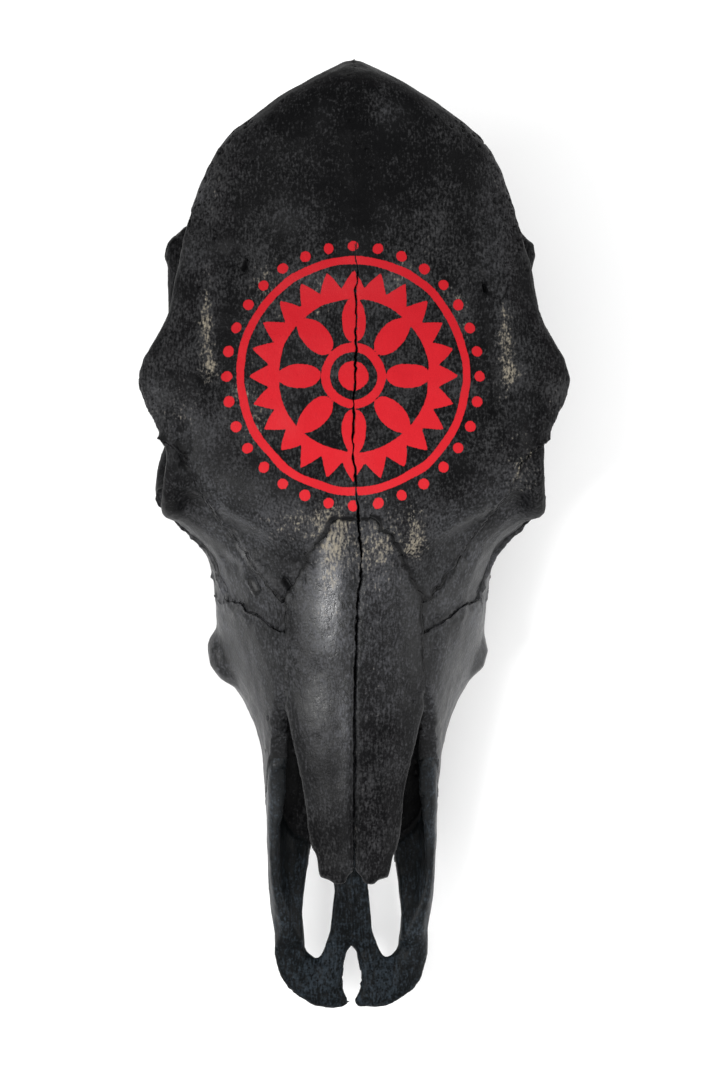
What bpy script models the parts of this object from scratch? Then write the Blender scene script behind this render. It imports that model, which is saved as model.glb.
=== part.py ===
"""Skull of a hornless cow without its lower jaw, at life size.

The scene is in metres, and the sizes below are in millimetres. +Z is up, +Y runs from the nose to
the poll and +X is the skull's left side. A station is the distance back from the tips of the
incisive bones, and a height is measured from the floor that the cheek teeth and the jugular
processes stand on. The whole skull is modelled first, in one skin, and is then parted along its
sutures into its bones.
"""

import math

import bmesh
import bpy
import numpy as np
from mathutils import Matrix, Vector

MM = 0.001

# Driving sizes of a full-grown polled cow
SKULL_LENGTH = 478.0
POLL_HEIGHT = 186.0
ORBIT_CENTRE = (93.0, 291.0, 115.0)
ORBIT_HALF_LENGTH = 35.0
ORBIT_HALF_HEIGHT = 32.0
BONE_WALL = 6.0
SUTURE_GAP = 0.4
COARSE_VOXEL = 2.4
FINE_VOXEL = 2.0
WHOLE_TRIANGLES = 7600

# Profiles along the skull: pairs of station and value
DORSAL_HEIGHT = ((36, 90), (55, 95), (100, 107), (150, 120), (200, 134), (245, 147), (285, 157),
                 (325, 165), (370, 173), (415, 181), (448, POLL_HEIGHT), (466, 181), (SKULL_LENGTH, 167))
NASAL_HALF_WIDTH = ((36, 14), (55, 17), (73, 20.5), (91, 23.4), (108, 25.5), (130, 29.8), (154, 35),
                    (203, 36), (235, 36), (300, 30))
FACE_HALF_WIDTH = ((36, 38), (48, 40.5), (60, 43), (90, 45), (120, 45.5), (140, 48.5), (160, 56),
                   (175, 64.5), (205, 71), (225, 72), (236, 76.5), (245, 87), (256, 94), (275, 86), (300, 60))
FACE_WIDEST_HEIGHT = ((36, 40), (55, 47), (120, 56), (185, 62), (225, 78), (250, 90), (300, 86))
SHOULDER_HALF_WIDTH = ((36, 28), (55, 32), (150, 46), (200, 57), (222, 64), (238, 72), (252, 88), (300, 70))
SHOULDER_HEIGHT = ((36, 60), (55, 74), (150, 92), (200, 104), (245, 118), (262, 124), (300, 120))
ALVEOLAR_HALF_WIDTH = ((36, 38), (55, 40), (90, 37), (135, 36), (165, 49), (200, 56), (260, 59), (300, 54))
ALVEOLAR_HEIGHT = ((36, 35), (55, 32), (135, 31), (165, 24), (270, 24), (300, 40))
PALATE_HEIGHT = ((36, 37), (55, 37), (120, 39), (200, 42), (300, 46))
FOREHEAD_HALF_WIDTH = ((222, 28), (236, 48), (246, 64), (256, 82), (266, 93), (280, 99), (292, 104.5),
                       (304, 108.5), (316, 111), (326, 108), (338, 100.5), (350, 95), (366, 92), (392, 86),
                       (412, 80), (427, 73.5), (435, 68), (442, 61), (449, 51.5), (456, 42), (463, 29.5),
                       (470, 18), (SKULL_LENGTH, 4))
FOREHEAD_EDGE_DROP = ((222, 8), (250, 12), (280, 12), (325, 15), (370, 19), (420, 24), (455, 20),
                      (SKULL_LENGTH, 5))
FOREHEAD_DEPTH = ((222, 20), (290, 26), (340, 30), (430, 46), (462, 44), (SKULL_LENGTH, 14))
CORE_HALF_WIDTH = ((262, 34), (300, 30), (335, 36), (365, 52), (395, 60), (430, 60), (452, 50))
CORE_FLOOR = ((262, 60), (300, 66), (340, 62), (395, 62), (430, 60), (452, 72))
NUCHAL_HALF_WIDTH = ((412, 72), (428, 72), (442, 62), (455, 42))

# Sutures. The first of each pair is a distance from the midline where the name says across, and a station
# elsewhere; the second is a station where the first is a distance from the midline
NASOFRONTAL_ACROSS = ((0, 246), (12, 243), (23, 226), (31, 211), (36, 204), (48, 219), (61, 239), (78, 259),
                      (84, 272), (98, 284), (140, 302))
FRONTAL_FLOOR = ((200, 104), (250, 112), (285, 121), (322, 117), (345, 127), (380, 132), (425, 140),
                 (455, 150), (540, 150))
NASAL_EDGE = ((20, 40), (120, 38), (154, 35.5), (203, 34), (270, 34))
NASAL_DEPTH = 16.0
NOTCH_MIDDLE = ((20, 58), (40, 62), (60, 67), (90, 77), (120, 89), (146, 102), (156, 107))
INCISIVE_LINE = ((160, 112), (156, 106), (130, 86), (116, 71), (107, 56), (82, 40), (64, 20), (64, -20))
LACRIMAL_ACROSS = ((0, 190), (42, 191), (55, 203), (72, 212), (140, 218))
LACRIMAL_END = 302.0
MIDLINE = ((-40, 0), (140, 0), (190, 0.8), (225, 3.0), (250, 1.2), (280, -1), (330, 0.5), (560, 0))
ZYGOMATIC_LINE = ((208, 88), (216, 78), (238, 66), (270, 52), (330, 56))
ARCH_SUTURE = ((364, 72), (352, 90), (338, 104))
PALATINE_HALF_WIDTH = ((236, 26), (262, 36), (292, 38), (300, 62), (352, 62))
BRAINCASE_FRONT = 268.0
BRAINCASE_FLOOR = 61.5
OCCIPITAL_FRONT = 426.0
BEYOND = 260.0

# Cheek teeth from front to back: length, width, number of lobes and how far wear leaves them off the floor
CHEEK_TEETH = ((14, 12, 1, 1.4), (17, 15, 1, 0.6), (16, 18, 1, 0), (22, 22, 2, 0), (27, 23, 2, 0),
               (30, 22, 2, 0.9))
TOOTH_ROW_END = 291.0
TOOTH_ROOT = 38.0
TOOTH_ROW_INSET = 10.0

# Colour in linear light and roughness of each kind of bone, which is stained black
BONE_COLOURS = {
    "frontal": ((0.016, 0.016, 0.018), 0.62),
    "nasal": ((0.022, 0.023, 0.026), 0.5),
    "incisive": ((0.017, 0.018, 0.022), 0.55),
    "maxilla": ((0.017, 0.017, 0.020), 0.6),
    "lacrimal": ((0.018, 0.018, 0.020), 0.6),
    "zygomatic": ((0.019, 0.018, 0.018), 0.62),
    "temporal": ((0.015, 0.015, 0.016), 0.7),
    "palatine": ((0.015, 0.015, 0.016), 0.68),
    "occipital": ((0.014, 0.014, 0.015), 0.7),
    "braincase": ((0.014, 0.014, 0.015), 0.7),
}


# Curves and profiles


def smooth_value(profile, place):
    """Reads a profile at a place, on a smooth curve through its pairs."""
    places, values = np.array(profile, float).T
    slopes = np.gradient(values, places)
    i = int(np.clip(np.searchsorted(places, place) - 1, 0, len(places) - 2))
    span = places[i + 1] - places[i]
    t = min(max((place - places[i]) / span, 0.0), 1.0)
    return float(
        values[i] * (1 + 2 * t) * (1 - t) ** 2
        + values[i + 1] * t * t * (3 - 2 * t)
        + slopes[i] * span * t * (1 - t) ** 2
        - slopes[i + 1] * span * t * t * (1 - t)
    )


def smooth_line(points, steps=4, closed=False):
    """Points on a Catmull-Rom curve through the given points, with some steps in each span."""
    points = [Vector(p) for p in points]
    count = len(points)
    line = []
    for i in range(count if closed else count - 1):
        if closed:
            a, b, c, d = (points[(i + k) % count] for k in (-1, 0, 1, 2))
        else:
            b, c = points[i], points[i + 1]
            a = points[i - 1] if i else b * 2 - c
            d = points[i + 2] if i + 2 < count else c * 2 - b
        for k in range(steps):
            t = k / steps
            line.append(
                0.5 * (2 * b + (c - a) * t + (2 * a - 5 * b + 4 * c - d) * t * t
                       + (3 * b - 3 * c + d - a) * t ** 3)
            )
    if not closed:
        line.append(points[-1])
    return line


def turn_angles(count):
    """Equal angles round a full turn."""
    return [2 * math.pi * k / count for k in range(count)]


# Making and joining solids


def new_object(name, mesh):
    """An object with this mesh, linked to the scene."""
    made = bpy.data.objects.new(name, mesh)
    bpy.context.scene.collection.objects.link(made)
    return made


def object_from_bmesh(name, work):
    """An object with the mesh of a BMesh, which is freed."""
    mesh = bpy.data.meshes.new(name)
    work.to_mesh(mesh)
    work.free()
    return new_object(name, mesh)


def loft(name, rings):
    """A closed solid through rings of equal count, with flat ends.

    Its sides are triangles, so that a region and its larger copy bend along the same lines.
    """
    work = bmesh.new()
    rows = [[work.verts.new(Vector(p) * MM) for p in ring] for ring in rings]
    count = len(rows[0])
    for first, second in zip(rows, rows[1:]):
        for k in range(count):
            after = (k + 1) % count
            work.faces.new((first[k], first[after], second[after]))
            work.faces.new((first[k], second[after], second[k]))
    work.faces.new(rows[0][::-1])
    work.faces.new(rows[-1])
    bmesh.ops.recalc_face_normals(work, faces=work.faces)
    return object_from_bmesh(name, work)


def cross_section(station, half):
    """A closed ring across the skull from the (x, height) points of one half, top centre to bottom centre."""
    other = [(-x, height) for x, height in half[-2:0:-1]]
    return smooth_line([(x, station, height) for x, height in [*half, *other]], closed=True)


def ellipsoid(name, centre, radii, turn_about_z=0.0):
    """A solid ellipsoid, turned about the vertical by an angle in degrees."""
    work = bmesh.new()
    bmesh.ops.create_uvsphere(work, u_segments=24, v_segments=16, radius=1.0)
    turn = Matrix.Rotation(math.radians(turn_about_z), 3, "Z")
    placing = Matrix.LocRotScale(Vector(centre) * MM, turn, Vector(radii) * MM)
    bmesh.ops.transform(work, matrix=placing, verts=work.verts)
    return object_from_bmesh(name, work)


def strut(name, path, broad, flat, side, around=12):
    """A bar of changing oval section along a path.

    broad and flat are the half sizes at each path point, and side is the direction that the
    broad size is measured in.
    """
    sizes = smooth_line([(b, f, 0) for b, f in zip(broad, flat)])
    line = smooth_line(path)
    rings = []
    for i, point in enumerate(line):
        along = (line[min(i + 1, len(line) - 1)] - line[max(i - 1, 0)]).normalized()
        across = (Vector(side) - along * along.dot(Vector(side))).normalized()
        other = along.cross(across)
        rings.append([
            point + across * sizes[i].x * math.cos(angle) + other * sizes[i].y * math.sin(angle)
            for angle in turn_angles(around)
        ])
    return loft(name, rings)


def apply_modifiers(piece):
    """Replaces the piece's mesh with the one that its modifiers make."""
    graph = bpy.context.evaluated_depsgraph_get()
    graph.update()
    mesh = bpy.data.meshes.new_from_object(piece.evaluated_get(graph))
    piece.modifiers.clear()
    piece.data = mesh
    return piece


def both_sides(piece):
    """Adds the mirror image of a piece on the other side of the skull."""
    mirror = piece.modifiers.new("mirror", "MIRROR")
    mirror.use_axis = (True, False, False)
    mirror.use_mirror_merge = False
    return apply_modifiers(piece)


def closed_tube(name, points, radius):
    """A tube along a closed line, as a mesh."""
    curve = bpy.data.curves.new(name, "CURVE")
    curve.dimensions = "3D"
    curve.bevel_depth = radius * MM
    curve.bevel_resolution = 3
    spline = curve.splines.new("POLY")
    spline.points.add(len(points) - 1)
    for place, point in zip(spline.points, points):
        place.co = (*(Vector(point) * MM), 1.0)
    spline.use_cyclic_u = True
    guide = new_object(name, curve)
    graph = bpy.context.evaluated_depsgraph_get()
    mesh = bpy.data.meshes.new_from_object(guide.evaluated_get(graph))
    bpy.data.objects.remove(guide)
    return new_object(name, mesh)


def joined(name, pieces):
    """One object that holds the meshes of several, which are removed."""
    work = bmesh.new()
    for piece in pieces:
        work.from_mesh(piece.data)
        bpy.data.objects.remove(piece)
    return object_from_bmesh(name, work)


def fuse(piece, voxel, passes):
    """Makes overlapping pieces one skin and eases the joins, as bone grows over them."""
    remesh = piece.modifiers.new("skin", "REMESH")
    remesh.mode = "VOXEL"
    remesh.voxel_size = voxel * MM
    ease = piece.modifiers.new("ease", "SMOOTH")
    ease.factor = 0.5
    ease.iterations = passes
    return apply_modifiers(piece)


def boolean(piece, other, operation, solver="EXACT"):
    """Applies one Boolean and removes the other object."""
    cut = piece.modifiers.new("boolean", "BOOLEAN")
    cut.operation = operation
    cut.solver = solver
    cut.object = other
    apply_modifiers(piece)
    bpy.data.objects.remove(other)
    return piece


def copy_of(piece, name):
    """A copy of a piece with a mesh of its own."""
    made = piece.copy()
    made.data = piece.data.copy()
    made.name = name
    bpy.context.scene.collection.objects.link(made)
    return made


def largest_part(piece):
    """Keeps only the largest closed surface of a piece."""
    work = bmesh.new()
    work.from_mesh(piece.data)
    seen = set()
    groups = []
    for vert in work.verts:
        if vert in seen:
            continue
        seen.add(vert)
        group, waiting = [], [vert]
        while waiting:
            here = waiting.pop()
            group.append(here)
            beyond = {edge.other_vert(here) for edge in here.link_edges} - seen
            seen |= beyond
            waiting += beyond
        groups.append(group)
    groups.sort(key=len)
    for group in groups[:-1]:
        bmesh.ops.delete(work, geom=group, context="VERTS")
    work.to_mesh(piece.data)
    work.free()
    return piece


# Solids of the face


def face_block():
    """The muzzle and cheeks, from the nasal opening to the orbits."""
    rings = []
    for station in range(36, 301, 6):
        top = smooth_value(DORSAL_HEIGHT, station)
        nasal = smooth_value(NASAL_HALF_WIDTH, station)
        ridge = smooth_value(ALVEOLAR_HALF_WIDTH, station)
        ridge_level = smooth_value(ALVEOLAR_HEIGHT, station)
        palate = smooth_value(PALATE_HEIGHT, station)
        rings.append(cross_section(station, [
            (0, top),
            (0.6 * nasal, top - 0.08 * nasal),
            (nasal, top - 0.3 * nasal),
            (smooth_value(SHOULDER_HALF_WIDTH, station), smooth_value(SHOULDER_HEIGHT, station)),
            (smooth_value(FACE_HALF_WIDTH, station), smooth_value(FACE_WIDEST_HEIGHT, station)),
            (ridge + 1, ridge_level + 8),
            (ridge - 3, ridge_level),
            (ridge - 16, ridge_level + 2),
            (0.35 * ridge, palate),
            (0, palate + 1),
        ]))
    return [loft("face", rings)]


def facial_tubers():
    """The knobs on the cheeks, the right one larger, with the crest that runs back from each to the orbit."""
    crest = [(62, 186, 64), (66, 212, 70), (70, 236, 76), (80, 262, 80)]
    return [
        ellipsoid("tuber_left", (62.5, 184, 63), (9, 13, 9), -20),
        ellipsoid("tuber_right", (-65.5, 183, 63), (9.5, 15, 9), 20),
        both_sides(strut("crest", crest, (6, 5, 6, 8), (5, 5, 6, 7), (0, 0, 1))),
    ]


def incisive_bodies():
    """The flat front plates of the incisive bones, with the processes that run back beside the midline."""
    plate = [(6.5, 4, 33), (15, 9, 34), (25, 18, 35.5), (32, 29, 37.5), (34.5, 42, 40), (38, 58, 44)]
    inner = [(9.5, 8, 34.5), (13, 17, 36), (9.5, 28, 37.5), (7, 42, 39.5), (6, 75, 43), (5.8, 112, 46)]
    return [
        both_sides(strut("plate", plate, (5, 9.5, 12, 9.5, 6.5, 5), (3, 4, 4.5, 5, 8, 11), (0.75, -0.6, 0))),
        both_sides(strut("inner", inner, (8, 9.5, 8, 6.5, 5.2, 5), (3.5, 4, 4, 3.5, 3.5, 3.5), (1, 0, 0))),
        both_sides(ellipsoid("tip", (5.4, 5, 33), (5, 5, 3.5))),
    ]


# Solids of the forehead and braincase


def forehead():
    """The frontal shield, from the nasal bones to the poll."""
    rings = []
    for station in [*range(222, 466, 6), 468, 472, 475, SKULL_LENGTH]:
        top = smooth_value(DORSAL_HEIGHT, station)
        half_width = smooth_value(FOREHEAD_HALF_WIDTH, station)
        drop = smooth_value(FOREHEAD_EDGE_DROP, station)
        under = top - max(smooth_value(FOREHEAD_DEPTH, station), drop + 12)
        rings.append(cross_section(station, [
            (0, top),
            (0.35 * half_width, top - 0.04 * drop),
            (0.7 * half_width, top - 0.3 * drop),
            (0.93 * half_width, top - 0.75 * drop),
            (half_width, top - drop - 3),
            (0.93 * half_width, top - drop - 9),
            (0.6 * half_width, under),
            (0, under),
        ]))
    return [loft("forehead", rings)]


def braincase_core():
    """The core of the skull, between and behind the orbits."""
    rings = []
    for station in range(262, 453, 9):
        half_width = smooth_value(CORE_HALF_WIDTH, station)
        floor = smooth_value(CORE_FLOOR, station)
        top = smooth_value(DORSAL_HEIGHT, station) - 14
        middle = 0.5 * (floor + top)
        rings.append(cross_section(station, [
            (0, top),
            (0.8 * half_width, top - 6),
            (half_width, middle + 12),
            (0.9 * half_width, middle - 14),
            (0.45 * half_width, floor + 3),
            (0, floor),
        ]))
    return [loft("core", rings)]


def nuchal_wall():
    """The back of the skull below the poll, with its crest and the knob that the neck's ligament holds."""
    rings = []
    for station in range(412, 456, 6):
        half_width = smooth_value(NUCHAL_HALF_WIDTH, station)
        rings.append(cross_section(station, [
            (0, 168),
            (0.55 * half_width, 164),
            (0.86 * half_width, 146),
            (half_width, 112),
            (0.92 * half_width, 88),
            (0.55 * half_width, 72),
            (0, 66),
        ]))
    crest = [(69, 420, 92), (66, 433, 122), (45, 446, 146), (20, 457, 153)]
    ridge = [(0, 461, 152), (0, 462, 134), (0, 455, 106)]
    return [
        loft("nuchal", rings),
        both_sides(strut("nuchal_crest", crest, (8, 8, 9, 8), (5, 6, 7, 7), (0, 1, 0))),
        strut("nuchal_ridge", ridge, (10, 8, 4), (8, 7, 4), (1, 0, 0)),
    ]


def skull_base():
    """The bar under the braincase, with its tubercles, the bullae, the jugular processes and the condyles."""
    bar = [(0, 325, 66), (0, 360, 62), (0, 400, 60), (0, 440, 66)]
    jugular = [(58, 424, 88), (63, 431, 58), (62, 434, 32), (55, 430, 10), (49, 426, -8)]
    condyle = [(40, 440, 84), (38, 452, 74), (29, 456, 60), (17, 444, 48)]
    return [
        strut("base", bar, (10, 12, 20, 18), (9, 9, 9, 10), (1, 0, 0)),
        both_sides(ellipsoid("tubercle", (13, 412, 54), (7, 10, 6))),
        both_sides(ellipsoid("bulla", (44, 392, 52), (9, 17, 24))),
        both_sides(strut("jugular", jugular, (16, 14, 11, 7.5, 5), (10, 7, 5.5, 5, 4.5), (0, 1, 0))),
        both_sides(strut("condyle", condyle, (11, 13, 13, 9), (9, 12, 12, 9), (1, 0, 0.5))),
    ]


def cheek_arches():
    """The zygomatic arches, the jaw joints and the ear openings."""
    arch = [(84, 266, 80), (90, 292, 77), (94, 322, 85), (91, 352, 92), (89, 382, 94), (80, 404, 98)]
    return [
        both_sides(strut("arch", arch, (10, 9, 8.5, 7, 8, 12), (6, 5.5, 5.5, 5, 7, 9), (0, 0, 1))),
        both_sides(ellipsoid("jaw_joint", (74, 374, 85), (24, 13, 8))),
        both_sides(ellipsoid("ear", (85, 392, 97), (13, 11, 11))),
        both_sides(ellipsoid("mastoid", (67, 410, 100), (15, 18, 24))),
    ]


def orbit_rims():
    """The raised edges of the eye sockets, which stand out most behind, the right one with a broader lip."""
    lip = [(-93, 292, 82), (-96, 273, 87), (-94, 259, 100), (-90, 255, 118)]
    ring = []
    for angle in turn_angles(36):
        back, up = math.cos(angle), math.sin(angle)
        ring.append((
            ORBIT_CENTRE[0] - 2.5 + 2.3 * back + 1.2 * up + 5.5 * back * back,
            ORBIT_CENTRE[1] - 1.5 + (ORBIT_HALF_LENGTH + 1.5) * back,
            ORBIT_CENTRE[2] + ORBIT_HALF_HEIGHT * up,
        ))
    return [
        both_sides(closed_tube("orbit_rim", ring, 7.5)),
        strut("right_lip", lip, (5, 7, 7, 5), (5, 7, 7, 5), (0, 0, 1)),
    ]


def orbit_supports():
    """The bar behind the eye and the cheek bone below it."""
    bar = [(96, 318, 148), (100, 325, 134), (99, 329, 116), (95, 327, 96)]
    cheek = [(65, 226, 84), (73, 248, 86), (86, 272, 78), (91, 305, 80)]
    return [
        both_sides(strut("hind_bar", bar, (14, 11, 10, 13), (8, 6, 6, 7), (0, 1, 0))),
        both_sides(strut("cheek_bone", cheek, (9, 14, 11, 9), (6, 8, 8, 7), (0, 0, 1))),
    ]


def throat_plates():
    """The upright palatine and pterygoid plates beside the hind opening of the nose."""
    plate = [(22, 276, 48), (19, 300, 42), (18, 325, 42), (20, 346, 52)]
    return [both_sides(strut("pterygoid", plate, (16, 22, 24, 14), (5, 3.5, 3.5, 4), (0, 0, 1)))]


# Hollows


def nasal_cavity():
    """The hollow of the nose, open in front and closing behind."""
    rings = []
    for station in range(20, 251, 10):
        fade = min(1.0, (262 - station) / 70)
        floor = smooth_value(PALATE_HEIGHT, station) + BONE_WALL + 1
        top = smooth_value(DORSAL_HEIGHT, station) - BONE_WALL
        middle = floor + 0.35 * (top - floor)
        top = middle + (top - middle) * fade
        half_top = (smooth_value(NASAL_HALF_WIDTH, station) - 4) * fade
        half_low = (smooth_value(FACE_HALF_WIDTH, min(station, 150)) - BONE_WALL - 1) * fade
        rings.append(cross_section(station, [
            (0, top),
            (0.7 * half_top, top - 1.5),
            (half_top, top - 9 * fade),
            (half_low, middle),
            (0.8 * half_low, floor + 3),
            (0, floor),
        ]))
    return [loft("nasal_cavity", rings)]


def nasal_notches():
    """The gaps between the free ends of the nasal bones and the incisive bones below."""
    outline = [(156, 106), (110, 97), (40, 81), (10, 76), (14, 44), (40, 49), (60, 56), (90, 67),
               (120, 81), (146, 98)]
    beside = []
    for station in range(24, 153, 8):
        edge = smooth_value(NASAL_HALF_WIDTH, station) + 1
        low = smooth_value(NOTCH_MIDDLE, station)
        beside.append([(x, station, z) for x, z in ((edge, low), (90, low), (90, 150), (edge, 150))])
    return [
        both_sides(loft("notch", [[(x, *pair) for pair in outline] for x in (16, 70)])),
        both_sides(loft("beside_nasal", beside)),
    ]


def nasal_ends():
    """The space before the nasal bones, which leaves each with a lobe and an outer point."""
    half = [(2.5, 66), (5, 61.5), (10, 61), (13, 65.5), (15, 65), (17.5, 63.5), (21, 80), (40, 82), (40, 10)]
    outline = [(0, 71), *half, *[(-x, station) for x, station in half[::-1]]]
    return [loft("nasal_ends", [[(x, station, height) for x, station in outline] for height in (70, 130)])]


def palatine_fissures():
    """The long openings through the front of the palate."""
    outline = [(18.5, 26.5), (24.5, 36), (26.3, 51), (24, 70), (21, 90), (15, 104), (10, 90), (9.4, 64),
               (11, 42), (15, 30.5)]
    rings = [[(x, station, height) for x, station in outline] for height in (15, 58)]
    return [both_sides(loft("fissure", rings))]


def orbits():
    """The eye sockets, which narrow inwards and back to the optic opening."""
    path = [(126, 287, 119), (98, 290, 116), (72, 297, 114), (48, 309, 112), (30, 320, 110)]
    broad, flat = (38, 32, 29, 20, 8), (34, 28.5, 27, 19, 8)
    return [both_sides(strut("orbit", path, broad, flat, (0, 1, 0), around=24))]


def temporal_hollows():
    """The hollows beside the braincase that the jaw muscles fill, passing down inside the arches."""
    return [
        both_sides(ellipsoid("temporal", (88, 378, 124), (29, 52, 21), 8)),
        both_sides(ellipsoid("infratemporal", (71, 346, 96), (18, 24, 40), 10)),
        both_sides(ellipsoid("hind_temporal", (84, 430, 134), (20, 30, 15), 30)),
    ]


def foramina():
    """The blood and nerve openings that show: above the eyes, with a groove each, and on the cheeks."""
    groove = [(60, 377, 171), (61, 366, 170.5), (66, 335, 166), (70, 305, 159), (70, 285, 156)]
    return [
        both_sides(strut("supraorbital", groove, (3.5, 5, 4, 3.5, 2), (4, 5.5, 4, 3.5, 2), (1, 0, 0))),
        both_sides(ellipsoid("infraorbital", (50, 139, 57), (7, 9, 5))),
    ]


def choanae():
    """The hind openings of the nose."""
    path = [(9, 356, 26), (8.5, 325, 34), (8, 296, 46), (8, 262, 58)]
    return [both_sides(strut("choana", path, (6.5, 6.5, 7, 6), (16, 18, 14, 8), (1, 0, 0)))]


def great_foramen():
    """The opening for the spinal cord."""
    path = [(0, 480, 76), (0, 455, 77), (0, 425, 80)]
    return [strut("foramen", path, (18, 17, 15), (16, 15, 13), (1, 0, 0), around=16)]


def whole_skull():
    """The skull in one skin, with its hollows, of few triangles."""
    solids = [
        *face_block(), *facial_tubers(), *incisive_bodies(), *forehead(), *braincase_core(), *nuchal_wall(),
        *skull_base(), *cheek_arches(), *orbit_rims(), *orbit_supports(), *throat_plates(),
    ]
    skull = fuse(joined("skull", solids), COARSE_VOXEL, 2)
    hollows = [
        *nasal_cavity(), *nasal_notches(), *nasal_ends(), *palatine_fissures(), *orbits(),
        *temporal_hollows(), *foramina(), *choanae(), *great_foramen(),
    ]
    for hollow in hollows:
        boolean(skull, hollow, "DIFFERENCE")
    fuse(skull, FINE_VOXEL, 4)
    thin = skull.modifiers.new("thin", "DECIMATE")
    thin.ratio = WHOLE_TRIANGLES / (2 * len(skull.data.polygons))
    return apply_modifiers(skull)


# Regions of the bones. Each is made once to keep and once, larger by the gap, to take away


def region_across(outline, places):
    """A solid from outlines in station and height at places across the skull."""
    return loft("region", [[(x, *pair) for pair in outline(abs(x))] for x in places])


def frontal_region(grow):
    """The roof behind the nasal bones, with the upper half of the orbits."""
    behind_orbit = [(station, height - grow) for station, height in FRONTAL_FLOOR if station > 310]

    def outline(x):
        front = smooth_value(NASOFRONTAL_ACROSS, x) - grow
        middle = 0.5 * (front + 310)
        return [
            (front, BEYOND), (front, smooth_value(FRONTAL_FLOOR, front) - grow),
            (middle, smooth_value(FRONTAL_FLOOR, middle) - grow), *behind_orbit,
            (behind_orbit[-1][0], BEYOND),
        ]

    half = [x for x, _ in NASOFRONTAL_ACROSS[1:]]
    return region_across(outline, [*[-x for x in half[::-1]], *half])


def nasal_region(grow):
    """The nasal bones, in front of the frontal bones and between the maxillae."""
    rings = []
    for station in (20, 80, 130, 154, 178, 203, 270):
        edge = smooth_value(NASAL_EDGE, station) + grow
        floor = smooth_value(DORSAL_HEIGHT, station) - NASAL_DEPTH - grow
        corners = ((-edge, floor), (edge, floor), (edge, BEYOND), (-edge, BEYOND))
        rings.append([(x, station, z) for x, z in corners])
    return loft("region", rings)


def incisive_region(grow):
    """The incisive bones, in front of the maxillae."""
    line = [(station + grow, height - grow) for station, height in INCISIVE_LINE]
    outline = [(-40, 130), (-40, -20), *line[::-1], (line[0][0], 130)]
    return region_across(lambda x: outline, (-90, 90))


def lacrimal_region(grow):
    """The lacrimal bones, in front of the orbits."""

    def outline(x):
        front = smooth_value(LACRIMAL_ACROSS, x) - grow
        end = LACRIMAL_END + grow
        return [(front, BEYOND), (front, 92 - grow), (262, 96 - grow), (end, 98 - grow), (end, BEYOND)]

    return both_sides(region_across(outline, (NASAL_EDGE[-1][1] - grow, 45, 58, 74, 140)))


def zygomatic_region(grow):
    """The cheek bones: the lower half of each orbit's rim and the front of the arch."""
    low = [(station, height - grow) for station, height in ZYGOMATIC_LINE]
    suture = [(station + grow, height) for station, height in ARCH_SUTURE]
    front, back = low[0][0] - grow, suture[-1][0]
    outline = [(front, BEYOND), (front, low[0][1]), *low[1:], *suture, (back, BEYOND)]
    return both_sides(region_across(lambda x: outline, (60 - grow, 140)))


def temporal_region(grow):
    """The temporal bones: the hind part of the arch, the jaw joint, the ear and the bulla."""
    inner, bulla_inner = 50 - grow, 34 - grow
    rings = []
    for station, inner_low, turn, floor in (
        (326 - grow, inner, 72, 22), (360, inner, 70, 8),
        (412, bulla_inner, 15, -47), (419 + grow, inner, 72, 22),
    ):
        corners = ((inner, 220), (inner, 84), (inner_low, turn), (inner_low, floor), (140, floor), (140, 220))
        rings.append([(x, station, z) for x, z in corners])
    return both_sides(loft("region", rings))


def palatine_region(grow):
    """The hind part of the palate, with the plates beside the hind opening of the nose."""
    rings = []
    ends = {PALATINE_HALF_WIDTH[0][0]: -grow, PALATINE_HALF_WIDTH[-1][0]: grow}
    for station, half in PALATINE_HALF_WIDTH:
        edge = half + grow
        top = (58 if station > 298 else 61) + grow
        place = station + ends.get(station, 0)
        rings.append([(x, place, z) for x, z in ((-edge, -20), (edge, -20), (edge, top), (-edge, top))])
    return loft("region", rings)


def occipital_region(grow):
    """The back of the skull, which reaches forward under the braincase in the middle."""

    def outline(x):
        low, high = (396 if x < 30 else 416) - grow, OCCIPITAL_FRONT - grow
        return [(low, -30), (low, 76), (high, 96), (high, BEYOND), (560, BEYOND), (560, -30)]

    return region_across(outline, (-120, -34, -26, 26, 34, 120))


def braincase_region(grow):
    """What is left behind the face."""
    front, floor, low_front = BRAINCASE_FRONT - grow, BRAINCASE_FLOOR - grow, LACRIMAL_END - grow
    outline = [
        (front, BEYOND), (front, floor), (low_front, floor), (low_front, -40), (560, -40), (560, BEYOND),
    ]
    return region_across(lambda x: outline, (-140, 140))


def left_region(grow):
    """Everything on the +X side of the wandering midline."""
    rings = []
    for station in (-40, 140, 175, 200, 213, 225, 237, 250, 265, 280, 305, 330, 560):
        middle = smooth_value(MIDLINE, station) - grow
        rings.append([(x, station, z) for x, z in ((middle, -60), (200, -60), (200, 300), (middle, 300))])
    return loft("region", rings)


def take_region(rest, region, name):
    """Cuts a region out of the rest and gives it back as its own piece."""
    piece = copy_of(rest, name)
    boolean(piece, region(0.0), "INTERSECT", "MANIFOLD")
    boolean(rest, region(SUTURE_GAP), "DIFFERENCE", "MANIFOLD")
    return piece


def halves(piece):
    """Parts a piece along the midline into its left and right bones."""
    right = copy_of(piece, piece.name + "_right")
    left = take_region(right, left_region, piece.name + "_left")
    bpy.data.objects.remove(piece)
    return [left, right]


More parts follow.
